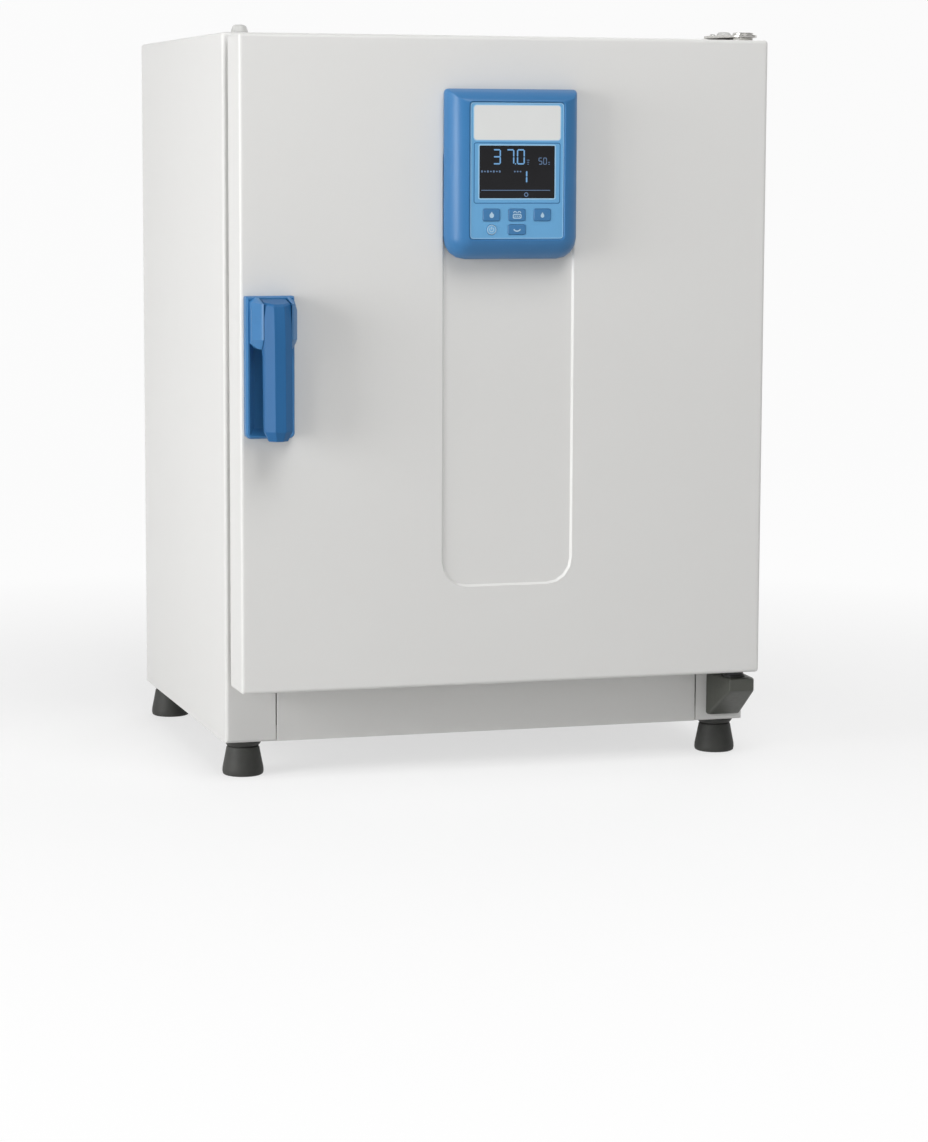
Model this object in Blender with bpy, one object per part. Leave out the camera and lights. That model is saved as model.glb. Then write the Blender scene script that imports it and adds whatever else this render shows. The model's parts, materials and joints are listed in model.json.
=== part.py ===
"""Bench-top microbiological incubator of about 66 litres, with a solid outer door and a glass inner door.

Metres, +Z up, the front faces -Y. The origin is on the floor under the middle of the whole object.
"""

from math import cos, pi, radians, sin

import bmesh
import bpy
from mathutils import Vector

# Body
body_width = 0.530
body_height = 0.674
body_depth = 0.388
foot_height = 0.034
stud_height = 0.0075
spacer_length = 0.045
sheet = 0.0015
clearance = 0.0003
fold_radius = 0.003
post_width = 0.0494
top_flange = 0.045
fascia_height = 0.075
panel_seam = 0.0012
tray_lip = 0.015
foot_inset_x = 0.0215
foot_inset_y = 0.020
foot_stud_radius = 0.004

# Chamber
side_insulation = 0.065
roof_insulation = 0.064
rear_insulation = 0.0544
chamber_lift = 0.110
liner_sheet = 0.001
frame_thickness = 0.0033
heater_thickness = 0.002
heater_setback = 0.035
heater_rear_margin = 0.045
rack_sheet = 0.0012
rack_end_margin = 0.044
rack_margin = 0.006
ledge_width = 0.012
shelf_levels = {"shelf_lower": 0.30, "shelf_upper": 0.64}
shelf_front_setback = 0.010
shelf_sheet = 0.0015
shelf_front_fold = 0.010
shelf_rear_upstand = 0.012
slot_columns = 9
slot_rows = 3
slot_width = 0.012
slot_bridge = 0.010
slot_field_margin = (0.070, 0.062)
probe_share = (-0.30, 0.80)
vent_share = (0.275, 0.86)
vent_radius = 0.014
vent_wall = 0.002
vent_reach = 0.014

# Outer door
door_gap = 0.0075
door_thickness = 0.0465
door_side_inset = 0.004
door_top_drop = 0.0026
door_lift = 0.0557
door_edge_radius = 0.003
recess_side_lap = 0.0005
recess_tuck = 0.0375
recess_lift = 0.0953
recess_radius = 0.025
recess_depth = 0.002
liner_recess_side_lap = 0.012
liner_recess_end_lap = 0.019
liner_recess_depth = 0.012
liner_draft = 0.006
gasket_width = 0.010
gasket_lap = 0.012
hinge_inset = 0.0215
hinge_forward = 0.031

# Hinges of the outer door
pin_radius = 0.005
bush_wall = 0.003
bush_depth = 0.024
bush_flange_radius = 0.0095
hinge_plate_thickness = 0.0025
hinge_plate_width = 0.038
hinge_plate_rear = 0.0105
hinge_nose_radius = 0.0135
pin_cap_radius = 0.010
pin_cap_height = 0.002
bracket_low = 0.006
bracket_height = 0.043
bracket_reach = 0.047
bracket_front_height = 0.014
bracket_width = 0.035
bracket_taper = 0.006
bracket_radius = 0.003
cup_radius = 0.0112
cup_depth = 0.006
pin_foot_radius = 0.0102
pin_foot_proud = 0.0018

# Control unit on the door
bezel_width = 0.130
bezel_height = 0.159
bezel_drop = 0.0489
bezel_rise = 0.026
bezel_side = 0.006
bezel_wall = 0.0025
bezel_top_radius = 0.004
bezel_bottom_radius = 0.020
brow_share = 0.4
brow_rise = 0.0155
shoulder_inset = 0.0085
shoulder_rise = 0.0222
rim_lap = 0.0014
rim_round = 0.0006
panel_width = 0.092
panel_height = 0.127
panel_lift = 0.0193
panel_radius = 0.003
panel_thickness = 0.002
panel_sink = 0.0012
ledge_inset = 0.002
window_width = 0.0744
window_height = 0.0495
window_lift = 0.0377
panel_post_inset = 0.006
panel_post_radius = 0.0025
board_gap = 0.0065
board_thickness = 0.0016
key_size = (0.0165, 0.0112)
low_key_size = (0.0172, 0.0094)
key_radius = 0.0015
key_travel = 0.0006
key_proud = 0.0008
key_flange = 0.001
key_row_lift = 0.0224
key_low_row_lift = 0.0087
key_pitch = 0.025
standby_radius = 0.0047
standby_lift = 0.0105
key_stem_radius = 0.0025
cable_hole_low = (-0.025, 0.040)
cable_hole_high = (0.025, 0.110)
switch_height = 0.0015

# Handle and latch
handle_width = 0.0465
handle_height = 0.1325
handle_lift = 0.2423
handle_inset = 0.0035
handle_rim = 0.011
handle_floor = 0.003
handle_reach = 0.045
lever_shift = 0.0013
lever_width = 0.026
lever_face_width = 0.010
lever_side_gap = 0.0005
lever_hollow_width = 0.0156
cheek_width = 0.008
cheek_reach = 0.034
cheek_height = 0.047
cheek_drop = 0.0011
cheek_crease = 0.0025
pivot_drop = 0.0235
pivot_reach = 0.018
trunnion_radius = 0.0028
arm_width = 0.006
arm_height = 0.006
arm_reach = 0.004
hook_thickness = 0.004
hook_pivot_depth = 0.030
hook_pivot_drop = 0.006
hook_reach = 0.066
hook_bar = 0.005
hook_nose_drop = 0.005
latch_pin_radius = 0.002
bracket_sheet = 0.0015
strike_thickness = 0.0015
strike_width = 0.0195
strike_height = 0.052
strike_window = (0.011, 0.027)
strike_shift = 0.0025

# Inner glass door
glass_thickness = 0.004
glass_side_lap = 0.004
glass_end_lap = 0.007
seal_thickness = 0.0011
seal_width = 0.0032
seal_gap = 0.0006
glass_axis_inset = 0.001
fitting_width = 0.016
fitting_height = 0.025
fitting_thickness = 0.0037
knuckle_height = 0.0035
glass_pin_radius = 0.001
glass_knob_radius = 0.007
glass_knob_reach = 0.0095
glass_knob_inset = 0.014

# Base compartment and rear
mains_board_size = (0.150, 0.110, 0.0016)
mains_board_from_side = 0.155
mains_board_from_rear = 0.101
relay_size = (0.018, 0.030, 0.0155)
relay_pitch = 0.030
relay_first = (-0.060, -0.040)
capacitor_radius = 0.008
capacitor_height = 0.0235
capacitor_pitch = 0.026
capacitor_first = (-0.050, 0.028)
standoff_height = 0.008
standoff_radius = 0.004
transformer_size = (0.066, 0.052, 0.046)
transformer_from_side = 0.145
transformer_from_rear = 0.091
inlet_from_side = 0.115
inlet_lift = 0.040
inlet_flange = (0.050, 0.030)
inlet_body = (0.034, 0.024)
inlet_depth = 0.026
air_slot_count = 12
air_slot_pitch = 0.016
air_slot_first = (-0.200, 0.022)
air_slot_size = (0.005, 0.038)
spacer_from_side = 0.085
spacer_from_top = 0.074

# Places worked out from the sizes above
total_depth = handle_reach + door_thickness + door_gap + body_depth + spacer_length
front = -total_depth / 2 + handle_reach + door_thickness + door_gap
rear = front + body_depth
side = body_width / 2
body_bottom = foot_height
body_top = body_bottom + body_height
inside = side - sheet - clearance
fascia_top = body_bottom + fascia_height
opening_half = side - post_width
opening_top = body_top - top_flange
core_front = front + frame_thickness + clearance
core_rear = rear - sheet - clearance
deck_low = fascia_top + clearance
deck_top = deck_low + sheet
chamber_width = body_width - 2 * side_insulation
chamber_height = body_height - chamber_lift - roof_insulation
chamber_bottom = body_bottom + chamber_lift
chamber_top = chamber_bottom + chamber_height
chamber_rear = rear - rear_insulation
chamber_depth = chamber_rear - core_front
chamber_half = chamber_width / 2
heater_length = chamber_depth - heater_setback - heater_rear_margin
rack_length = chamber_depth - rack_end_margin
shelf_heights = {name: level * chamber_height for name, level in shelf_levels.items()}
slot_pitch = (
    (chamber_width - slot_field_margin[0]) / (slot_columns - 1),
    (rack_length - slot_field_margin[1]) / (slot_rows - 1),
)
slot_size = (slot_width, slot_pitch[1] - slot_bridge)
probe_place = (probe_share[0] * chamber_width, probe_share[1] * chamber_height)
vent_place = (vent_share[0] * chamber_width, vent_share[1] * chamber_height)
door_width = body_width - 2 * door_side_inset
door_height = body_height - door_lift - door_top_drop
door_back = front - door_gap
door_face = door_back - door_thickness
door_bottom = body_bottom + door_lift
door_top = door_bottom + door_height
door_half = door_width / 2
hinge_axis = (side - hinge_inset, front - hinge_forward)
bezel_bottom = door_top - bezel_drop - bezel_height
recess_width = bezel_width + 2 * recess_side_lap
recess_height = bezel_bottom + bezel_height - recess_tuck - door_bottom - recess_lift
liner_recess_width = chamber_width + 2 * liner_recess_side_lap
liner_recess_height = chamber_height + 2 * liner_recess_end_lap
gasket_outer_width = liner_recess_width + 2 * gasket_lap
gasket_outer_height = liner_recess_height + 2 * gasket_lap
panel_bottom = bezel_bottom + panel_lift
handle_bottom = door_bottom + handle_lift
handle_top = handle_bottom + handle_height
handle_middle = -door_half + handle_inset + handle_width / 2
handle_x = handle_middle + lever_shift
pivot_y = door_face - pivot_reach
pivot_z = handle_top - pivot_drop
hook_pivot_y = door_face + hook_pivot_depth
hook_pivot_z = pivot_z - hook_pivot_drop
bush_radius = pin_radius + clearance + bush_wall
bracket_top = body_bottom + bracket_low + bracket_height
pin_foot_top = bracket_top + pin_foot_proud
hinge_plate_low = body_top + clearance
panel_front = door_face - bezel_rise + panel_sink
panel_back = panel_front + panel_thickness
board_front = panel_back + board_gap
window_low = (-window_width / 2, panel_bottom + window_lift)
window_high = (window_width / 2, panel_bottom + window_lift + window_height)
cheek_inner = lever_width / 2 + lever_side_gap
cheek_top = handle_top - cheek_drop
cheek_low = cheek_top - cheek_height
glass_back = front - clearance - seal_thickness - 0.0005
glass_front = glass_back - glass_thickness
glass_width = chamber_width + 2 * glass_side_lap
glass_low = chamber_bottom - glass_end_lap
glass_high = chamber_top + glass_end_lap
glass_axis = (glass_width / 2 - glass_axis_inset, (glass_front + glass_back) / 2)
mains_board_place = (-side + mains_board_from_side, rear - mains_board_from_rear)
transformer_place = (side - transformer_from_side, rear - transformer_from_rear)
inlet_place = (side - inlet_from_side, inlet_lift)
spacer_place = (side - spacer_from_side, body_height - spacer_from_top)


def finish(name, colour, roughness, metallic=0.0):
    """A material in one plain colour."""
    material = bpy.data.materials.new(name)
    material.use_nodes = True
    shader = material.node_tree.nodes["Principled BSDF"]
    shader.inputs["Base Color"].default_value = (*colour, 1.0)
    shader.inputs["Roughness"].default_value = roughness
    shader.inputs["Metallic"].default_value = metallic
    material.diffuse_color = (*colour, 1.0)
    return material


def rounded(low, high, radii, shrink=0.0, steps=4):
    """The outline of a rectangle with round corners, from the lower right one anticlockwise."""
    if isinstance(radii, float):
        radii = (radii,) * 4
    right, top = high[0] - shrink, high[1] - shrink
    left, bottom = low[0] + shrink, low[1] + shrink
    radii = [max(radius - shrink, 0.0004) for radius in radii]
    centres = (
        (right - radii[0], bottom + radii[0]),
        (right - radii[1], top - radii[1]),
        (left + radii[2], top - radii[2]),
        (left + radii[3], bottom + radii[3]),
    )
    points = []
    for quarter, (centre, radius) in enumerate(zip(centres, radii)):
        for step in range(steps + 1):
            angle = (quarter - 1 + step / steps) * pi / 2
            points.append((centre[0] + radius * cos(angle), centre[1] + radius * sin(angle)))
    return points


def circle(radius, steps):
    """The outline of a circle about the origin."""
    turns = [2 * pi * step / steps for step in range(steps)]
    return [(radius * cos(turn), radius * sin(turn)) for turn in turns]


def ring_at(points, axis, at):
    """A flat outline put in space, square to one axis."""
    if axis == "X":
        return [Vector((at, a, b)) for a, b in points]
    if axis == "Y":
        return [Vector((a, at, b)) for a, b in points]
    return [Vector((a, b, at)) for a, b in points]


def loft(rings, hoop=False):
    """Rings of points skinned one to the next, with end caps, or with the last joined to the first."""
    shape = bmesh.new()
    loops = [[shape.verts.new(point) for point in ring] for ring in rings]
    pairs = list(zip(loops, loops[1:]))
    if hoop:
        pairs.append((loops[-1], loops[0]))
    else:
        shape.faces.new(loops[0])
        shape.faces.new(loops[-1])
    for first, second in pairs:
        for index in range(len(first)):
            following = (index + 1) % len(first)
            shape.faces.new((first[index], first[following], second[following], second[index]))
    bmesh.ops.recalc_face_normals(shape, faces=shape.faces)
    return shape


def prism(points, axis, start, end):
    """An outline extruded along an axis."""
    return loft([ring_at(points, axis, start), ring_at(points, axis, end)])


def box(low, high):
    """A plain rectangular block."""
    outline = [(low[0], low[1]), (high[0], low[1]), (high[0], high[1]), (low[0], high[1])]
    return prism(outline, "Z", low[2], high[2])


def turned(profile, centre, axis="Z", steps=24, hoop=False):
    """Pairs of radius and height turned about an axis through the centre."""
    rings = []
    for radius, height in profile:
        rings.append([Vector(centre) + point for point in ring_at(circle(radius, steps), axis, height)])
    return loft(rings, hoop)


def together(shapes):
    """Several loose shapes in one mesh, for cutting or joining in one step."""
    whole = bmesh.new()
    for shape in shapes:
        mesh = bpy.data.meshes.new("loose")
        shape.to_mesh(mesh)
        whole.from_mesh(mesh)
        bpy.data.meshes.remove(mesh)
        shape.free()
    return whole


def piece(name, shape, material, pivot=(0.0, 0.0, 0.0)):
    """A named object in its place, with its origin at the pivot."""
    bmesh.ops.translate(shape, verts=shape.verts, vec=-Vector(pivot))
    mesh = bpy.data.meshes.new(name)
    shape.to_mesh(mesh)
    shape.free()
    mesh.materials.append(material)
    mesh.shade_smooth()
    mesh.set_sharp_from_angle(angle=radians(35))
    made = bpy.data.objects.new(name, mesh)
    made.location = pivot
    bpy.context.scene.collection.objects.link(made)
    return made


def alter(target, operation, shape):
    """A Boolean on a piece, with its helper kept out of the model."""
    name = f"{target.name}_{operation.lower()}_{len(target.modifiers)}"
    tool = piece(name, shape, target.data.materials[0])
    tool.hide_render = True
    tool.display_type = "WIRE"
    modifier = target.modifiers.new(name, "BOOLEAN")
    modifier.operation = operation
    modifier.solver = "EXACT"
    modifier.object = tool


def cut(target, shape):
    """Material taken away from a piece."""
    alter(target, "DIFFERENCE", shape)


def add(target, shape):
    """Material fused to a piece."""
    alter(target, "UNION", shape)


def make_housing():
    """Folded sheet: both sides and the top in one, with front flanges round the opening."""
    rings = []
    radii = (0.0005, fold_radius, fold_radius, 0.0005)
    for step in range(4):
        turn = step / 3 * pi / 2
        shrink = fold_radius * (1 - sin(turn))
        setback = fold_radius * (1 - cos(turn))
        outline = rounded((-side, body_bottom), (side, body_top), radii, shrink)
        rings.append(ring_at(outline, "Y", front + setback))
    rings.append(ring_at(rounded((-side, body_bottom), (side, body_top), radii), "Y", rear))
    housing = piece("outer_housing", loft(rings), painted_steel)
    hollow_low = (-side + sheet, front + sheet, body_bottom - sheet)
    hollow = box(hollow_low, (side - sheet, rear + sheet, body_top - sheet))
    cut(housing, hollow)
    mouth_low = (-opening_half, front - sheet, body_bottom - sheet)
    mouth = box(mouth_low, (opening_half, front + 2 * sheet, opening_top))
    cut(housing, mouth)
    slot_half = strike_window[0] / 2 + 0.001
    slot_low = hook_pivot_z - strike_window[1] / 2 + 0.002
    slot_high = slot_low + strike_window[1] + 0.002
    slot = box(
        (handle_x - slot_half, front - sheet, slot_low),
        (handle_x + slot_half, front + 2 * sheet, slot_high),
    )
    cut(housing, slot)
    return housing


def make_fascia():
    """The flush strip between the posts below the door, with a flange back at its top."""
    profile = [
        (front, body_bottom),
        (front + sheet, body_bottom),
        (front + sheet, fascia_top - sheet),
        (front + tray_lip, fascia_top - sheet),
        (front + tray_lip, fascia_top),
        (front, fascia_top),
    ]
    half = opening_half - panel_seam
    return piece("lower_fascia", prism(profile, "X", -half, half), painted_steel)


def make_base_tray():
    """A folded pan that closes the bottom, with bushes for the feet and standoffs for the board."""
    low_y = front + sheet + clearance
    tray = piece(
        "base_tray",
        box((-inside, low_y, body_bottom), (inside, core_rear, body_bottom + tray_lip)),
        painted_steel,
    )
    top = body_bottom + tray_lip + sheet
    floor = body_bottom + sheet
    cut(tray, box((-inside + sheet, low_y + sheet, floor), (inside - sheet, core_rear - sheet, top)))
    bushes = [
        turned([(0.009, floor - sheet / 2), (0.009, floor + 0.010)], (x, y, 0.0), steps=16)
        for x, y in foot_places()
    ]
    x, y = mains_board_place
    half_x, half_y = mains_board_size[0] / 2 - 0.008, mains_board_size[1] / 2 - 0.008
    standoffs = [
        turned(
            [(standoff_radius, floor - sheet / 2), (standoff_radius, floor + standoff_height)],
            (x + sign_x * half_x, y + sign_y * half_y, 0.0),
            steps=12,
        )
        for sign_x in (-1, 1)
        for sign_y in (-1, 1)
    ]
    add(tray, together(bushes + standoffs))
    bore = foot_stud_radius + clearance
    profile = [(bore, body_bottom - sheet), (bore, top)]
    bores = [turned(profile, (x, y, 0.0), steps=16) for x, y in foot_places()]
    cut(tray, together(bores))
    return tray


def foot_places():
    """The middles of the four feet, which the stacking studs stand above."""
    x = side - foot_inset_x
    return [(sx * x, y) for y in (front + foot_inset_y, rear - foot_inset_y) for sx in (-1, 1)]


def make_rear_panel():
    """A flat steel back with air slots over the base compartment and openings for the inlet and the vent."""
    panel = piece(
        "rear_panel",
        box(
            (-inside, core_rear + clearance, body_bottom + clearance),
            (inside, rear, body_top - sheet - clearance),
        ),
        painted_steel,
    )
    x, z = inlet_place
    half = (inlet_body[0] / 2 + clearance, inlet_body[1] / 2 + clearance)
    low = (x - half[0], core_rear - sheet, body_bottom + z - half[1])
    high = (x + half[0], rear + sheet, body_bottom + z + half[1])
    openings = [box(low, high)]
    openings.append(
        turned(
            [(vent_radius + clearance, core_rear - sheet), (vent_radius + clearance, rear + sheet)],
            (vent_place[0], 0.0, chamber_bottom + vent_place[1]),
            axis="Y",
        )
    )
    slot_low = body_bottom + air_slot_first[1]
    slot_high = slot_low + air_slot_size[1]
    for column in range(air_slot_count):
        left = air_slot_first[0] + column * air_slot_pitch
        slot_end = (left + air_slot_size[0], rear + sheet, slot_high)
        openings.append(box((left, core_rear - sheet, slot_low), slot_end))
    cut(panel, together(openings))
    return panel


def make_deck():
    """The folded channel between the base compartment and the insulated part."""
    web = inside - 2 * sheet
    foot = body_bottom + sheet + clearance
    profile = [
        (-web, foot),
        (-web + sheet, foot),
        (-web + sheet, deck_low),
        (web - sheet, deck_low),
        (web - sheet, foot),
        (web, foot),
        (web, deck_top),
        (-web, deck_top),
    ]
    return piece(
        "compartment_deck",
        prism(profile, "Y", core_front, core_rear - sheet - clearance),
        galvanised_steel,
    )


def make_chamber_frame():
    """The plastic frame round the chamber's mouth, which stops heat from reaching the housing."""
    outer_low = (-opening_half + clearance, fascia_top + clearance)
    outer_high = (opening_half - clearance, opening_top - clearance)
    inner_low = (-chamber_half, chamber_bottom)
    inner_high = (chamber_half, chamber_top)
    rings = [
        ring_at(rounded(outer_low, outer_high, 0.001), "Y", front),
        ring_at(rounded(outer_low, outer_high, 0.001), "Y", front + frame_thickness),
        ring_at(rounded(inner_low, inner_high, 0.006), "Y", front + frame_thickness),
        ring_at(rounded(inner_low, inner_high, 0.006), "Y", front),
    ]
    return piece("chamber_frame", loft(rings, hoop=True), frame_plastic)


def make_liner():
    """The stainless chamber: five welded sides with round upright corners, open at the front."""
    outer = rounded(
        (-chamber_half - liner_sheet, chamber_bottom - liner_sheet),
        (chamber_half + liner_sheet, chamber_top + liner_sheet),
        0.007,
    )
    inner = rounded((-chamber_half, chamber_bottom), (chamber_half, chamber_top), 0.006)
    rings = [
        ring_at(outer, "Y", chamber_rear + liner_sheet),
        ring_at(outer, "Y", core_front),
        ring_at(inner, "Y", core_front),
        ring_at(inner, "Y", chamber_rear),
    ]
    liner = piece("chamber_liner", loft(rings), stainless_steel)
    cut(liner, vent_bore())
    return liner


def vent_bore():
    """The clear hole that the vent tube passes through."""
    radius = vent_radius + clearance
    place = (vent_place[0], 0.0, chamber_bottom + vent_place[1])
    return turned([(radius, chamber_rear - 0.005), (radius, core_rear + sheet / 2)], place, axis="Y")


def make_heater():
    """The sheet heater wrapped round the middle of the chamber."""
    inner = liner_sheet + clearance
    outer = inner + heater_thickness
    start = core_front + heater_setback
    rings = []
    end = start + heater_length
    for grow, at in ((inner, start), (outer, start), (outer, end), (inner, end)):
        outline = rounded(
            (-chamber_half - grow, chamber_bottom - grow),
            (chamber_half + grow, chamber_top + grow),
            0.006 + grow,
        )
        rings.append(ring_at(outline, "Y", at))
    return piece("heater_wrap", loft(rings, hoop=True), heater_foil)


def make_insulation():
    """The fibre block that fills the space between the chamber and the housing."""
    grow = liner_sheet + heater_thickness + 2 * clearance
    jacket = piece(
        "insulation_jacket",
        box((-inside, core_front, deck_top + clearance), (inside, core_rear, body_top - sheet - clearance)),
        insulation_fibre,
    )
    pocket = rounded(
        (-chamber_half - grow, chamber_bottom - grow), (chamber_half + grow, chamber_top + grow), 0.006 + grow
    )
    cut(jacket, prism(pocket, "Y", core_front - 0.005, chamber_rear + liner_sheet + clearance))
    cut(jacket, vent_bore())
    half = strike_window[0] / 2 + 0.003
    cut(
        jacket,
        box(
            (handle_x - half, core_front - 0.005, hook_pivot_z - strike_window[1] / 2 - 0.002),
            (handle_x + half, core_front + 0.016, hook_pivot_z + strike_window[1] / 2 + 0.012),
        ),
    )
    return jacket


def make_rack(name, hand):
    """An upright side rack of folded stainless sheet, with one ledge under each shelf."""
    outer = chamber_half - clearance
    web = outer - rack_sheet
    tip = outer - ledge_width
    outline = [(outer, chamber_bottom + rack_margin), (outer, chamber_top - rack_margin)]
    outline.append((web, chamber_top - rack_margin))
    for height in sorted(shelf_heights.values(), reverse=True):
        ledge_top = chamber_bottom + height - shelf_sheet - clearance
        ledge_low = ledge_top - rack_sheet
        outline += [(web, ledge_top), (tip, ledge_top), (tip, ledge_low), (web, ledge_low)]
    outline.append((web, chamber_bottom + rack_margin))
    outline = [(hand * x, z) for x, z in outline]
    start = core_front + shelf_front_setback + shelf_sheet + 2 * clearance
    return piece(name, prism(outline, "Y", start, start + rack_length), stainless_steel)


def make_shelf(name, height):
    """A punched stainless shelf, folded down in front of the racks and up at the rear."""
    top = chamber_bottom + height
    start = core_front + shelf_front_setback
    end = start + rack_length
    half = chamber_half - 2 * clearance - rack_sheet
    profile = [
        (start, top - shelf_front_fold),
        (start + shelf_sheet, top - shelf_front_fold),
        (start + shelf_sheet, top - shelf_sheet),
        (end, top - shelf_sheet),
        (end, top + shelf_rear_upstand),
        (end - shelf_sheet, top + shelf_rear_upstand),
        (end - shelf_sheet, top),
        (start, top),
    ]
    shelf = piece(name, prism(profile, "X", -half, half), stainless_steel)
    middle = (start + end) / 2
    slots = []
    for column in range(slot_columns):
        x = (column - (slot_columns - 1) / 2) * slot_pitch[0]
        for row in range(slot_rows):
            y = middle + (row - (slot_rows - 1) / 2) * slot_pitch[1]
            low = (x - slot_size[0] / 2, y - slot_size[1] / 2, top - 2 * shelf_sheet)
            high = (x + slot_size[0] / 2, y + slot_size[1] / 2, top + shelf_sheet)
            slots.append(box(low, high))
    cut(shelf, together(slots))
    return shelf


def make_probe():
    """The temperature sensor: a round foot on the chamber's rear wall and a thin stem into the chamber."""
    wall = chamber_rear - clearance
    profile = [
        (0.009, wall),
        (0.009, wall - 0.003),
        (0.003, wall - 0.004),
        (0.003, wall - 0.022),
        (0.0018, wall - 0.024),
    ]
    place = (probe_place[0], 0.0, chamber_bottom + probe_place[1])
    return piece("temperature_probe", turned(profile, place, axis="Y", steps=16), stainless_steel)


def make_vent():
    """The exhaust tube from the chamber through the back, with a flange inside the chamber."""
    place = (vent_place[0], 0.0, chamber_bottom + vent_place[1])
    bore = vent_radius - vent_wall
    collar = vent_radius + 0.005
    wall = chamber_rear - clearance
    profile = [
        (bore, wall - 0.0015),
        (collar, wall - 0.0015),
        (collar, wall),
        (vent_radius, wall),
        (vent_radius, rear + vent_reach),
        (bore, rear + vent_reach),
    ]
    return piece("vent_tube", turned(profile, place, axis="Y", hoop=True), frame_plastic)


def make_foot(name, x, y):
    """A levelling foot: a rubber-like bell with a collar and a threaded stud, turned about its own axis."""
    profile = [
        (0.0180, 0.0),
        (0.0195, 0.0010),
        (0.0200, 0.0035),
        (0.0198, 0.0070),
        (0.0178, 0.0170),
        (0.0160, 0.0265),
        (0.0152, 0.0278),
        (0.0135, 0.0280),
        (0.0135, 0.0286),
        (0.0158, 0.0290),
        (0.0178, 0.0318),
        (0.0178, body_bottom - clearance),
        (foot_stud_radius, body_bottom - clearance),
        (foot_stud_radius, body_bottom + tray_lip),
    ]
    return piece(name, turned(profile, (x, y, 0.0), steps=24), foot_rubber, pivot=(x, y, 0.0))


def make_stud(name, x, y):
    """A low stacking stud on the roof's front corner, which locates the foot of a second cabinet."""
    low = body_top + clearance
    top = body_top + stud_height
    profile = [
        (0.0082, low),
        (0.0080, low + 0.0015),
        (0.0066, top - 0.0018),
        (0.0054, top - 0.0005),
        (0.0038, top),
    ]
    return piece(name, turned(profile, (x, y, 0.0), steps=20), stud_plastic)


def door_outline(shrink=0.0):
    """The door's outline seen from the front."""
    return rounded((-door_half, door_bottom), (door_half, door_top), door_edge_radius, shrink)


def recess_outline(shrink=0.0):
    """The outline of the pressed panel in the door's face."""
    low = (-recess_width / 2, door_bottom + recess_lift)
    high = (recess_width / 2, door_bottom + recess_lift + recess_height)
    return rounded(low, high, recess_radius, shrink)


def make_door_skin():
    """The door's outer shell: a deep-drawn pan with rolled front edges and a pressed panel in its face."""
    rings = [
        ring_at(recess_outline(recess_depth), "Y", door_face + recess_depth),
        ring_at(recess_outline(), "Y", door_face),
    ]
    for step in range(4):
        turn = step / 3 * pi / 2
        shrink = door_edge_radius * (1 - sin(turn))
        rings.append(ring_at(door_outline(shrink), "Y", door_face + door_edge_radius * (1 - cos(turn))))
    rings += [
        ring_at(door_outline(), "Y", door_back),
        ring_at(door_outline(sheet), "Y", door_back),
        ring_at(door_outline(sheet), "Y", door_face + door_edge_radius),
        ring_at(door_outline(door_edge_radius), "Y", door_face + sheet),
        ring_at(recess_outline(-sheet), "Y", door_face + sheet),
        ring_at(recess_outline(recess_depth - sheet), "Y", door_face + recess_depth + sheet),
    ]
    skin = piece("door_skin", loft(rings), painted_steel)
    hole = bush_radius + clearance
    openings = [
        turned([(hole, door_bottom - sheet), (hole, door_bottom + 2 * sheet)], (*hinge_axis, 0.0), steps=20),
        turned([(hole, door_top - 2 * sheet), (hole, door_top + sheet)], (*hinge_axis, 0.0), steps=20),
        box(
            (cable_hole_low[0], door_face - sheet, bezel_bottom + cable_hole_low[1]),
            (cable_hole_high[0], door_face + recess_depth + 2 * sheet, bezel_bottom + cable_hole_high[1]),
        ),
        arm_opening(door_face - sheet, door_face + 2 * sheet),
    ]
    cut(skin, together(openings))
    return skin


def arm_opening(start, end):
    """The clear hole that the lever's rear arm swings in."""
    half = arm_width / 2 + 0.003
    return box((handle_x - half, start, pivot_z - 0.017), (handle_x + half, end, pivot_z + 0.008))


def hook_opening(start, end):
    """The clear hole that the latch hook swings in."""
    half = hook_thickness / 2 + 0.003
    return box((handle_x - half, start, hook_pivot_z - 0.012), (handle_x + half, end, hook_pivot_z + 0.016))


def liner_recess(shrink=0.0):
    """The outline of the pressed recess at the door's back, opposite the chamber's mouth."""
    middle = (chamber_bottom + chamber_top) / 2
    low = (-liner_recess_width / 2, middle - liner_recess_height / 2)
    high = (liner_recess_width / 2, middle + liner_recess_height / 2)
    return rounded(low, high, 0.012, shrink)


def make_door_liner():
    """The door's inner pan, pressed forward in the middle to leave room for the glass door."""
    edge = sheet + clearance
    floor = door_back - liner_recess_depth
    rings = [
        ring_at(liner_recess(liner_draft), "Y", floor),
        ring_at(liner_recess(), "Y", door_back),
        ring_at(door_outline(edge), "Y", door_back),
        ring_at(door_outline(edge), "Y", door_back - sheet),
        ring_at(liner_recess(-sheet), "Y", door_back - sheet),
        ring_at(liner_recess(liner_draft - sheet), "Y", floor - sheet),
    ]
    liner = piece("door_liner", loft(rings), painted_steel)
    cut(liner, hook_opening(door_back - 2 * sheet, door_back + sheet))
    return liner


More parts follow.
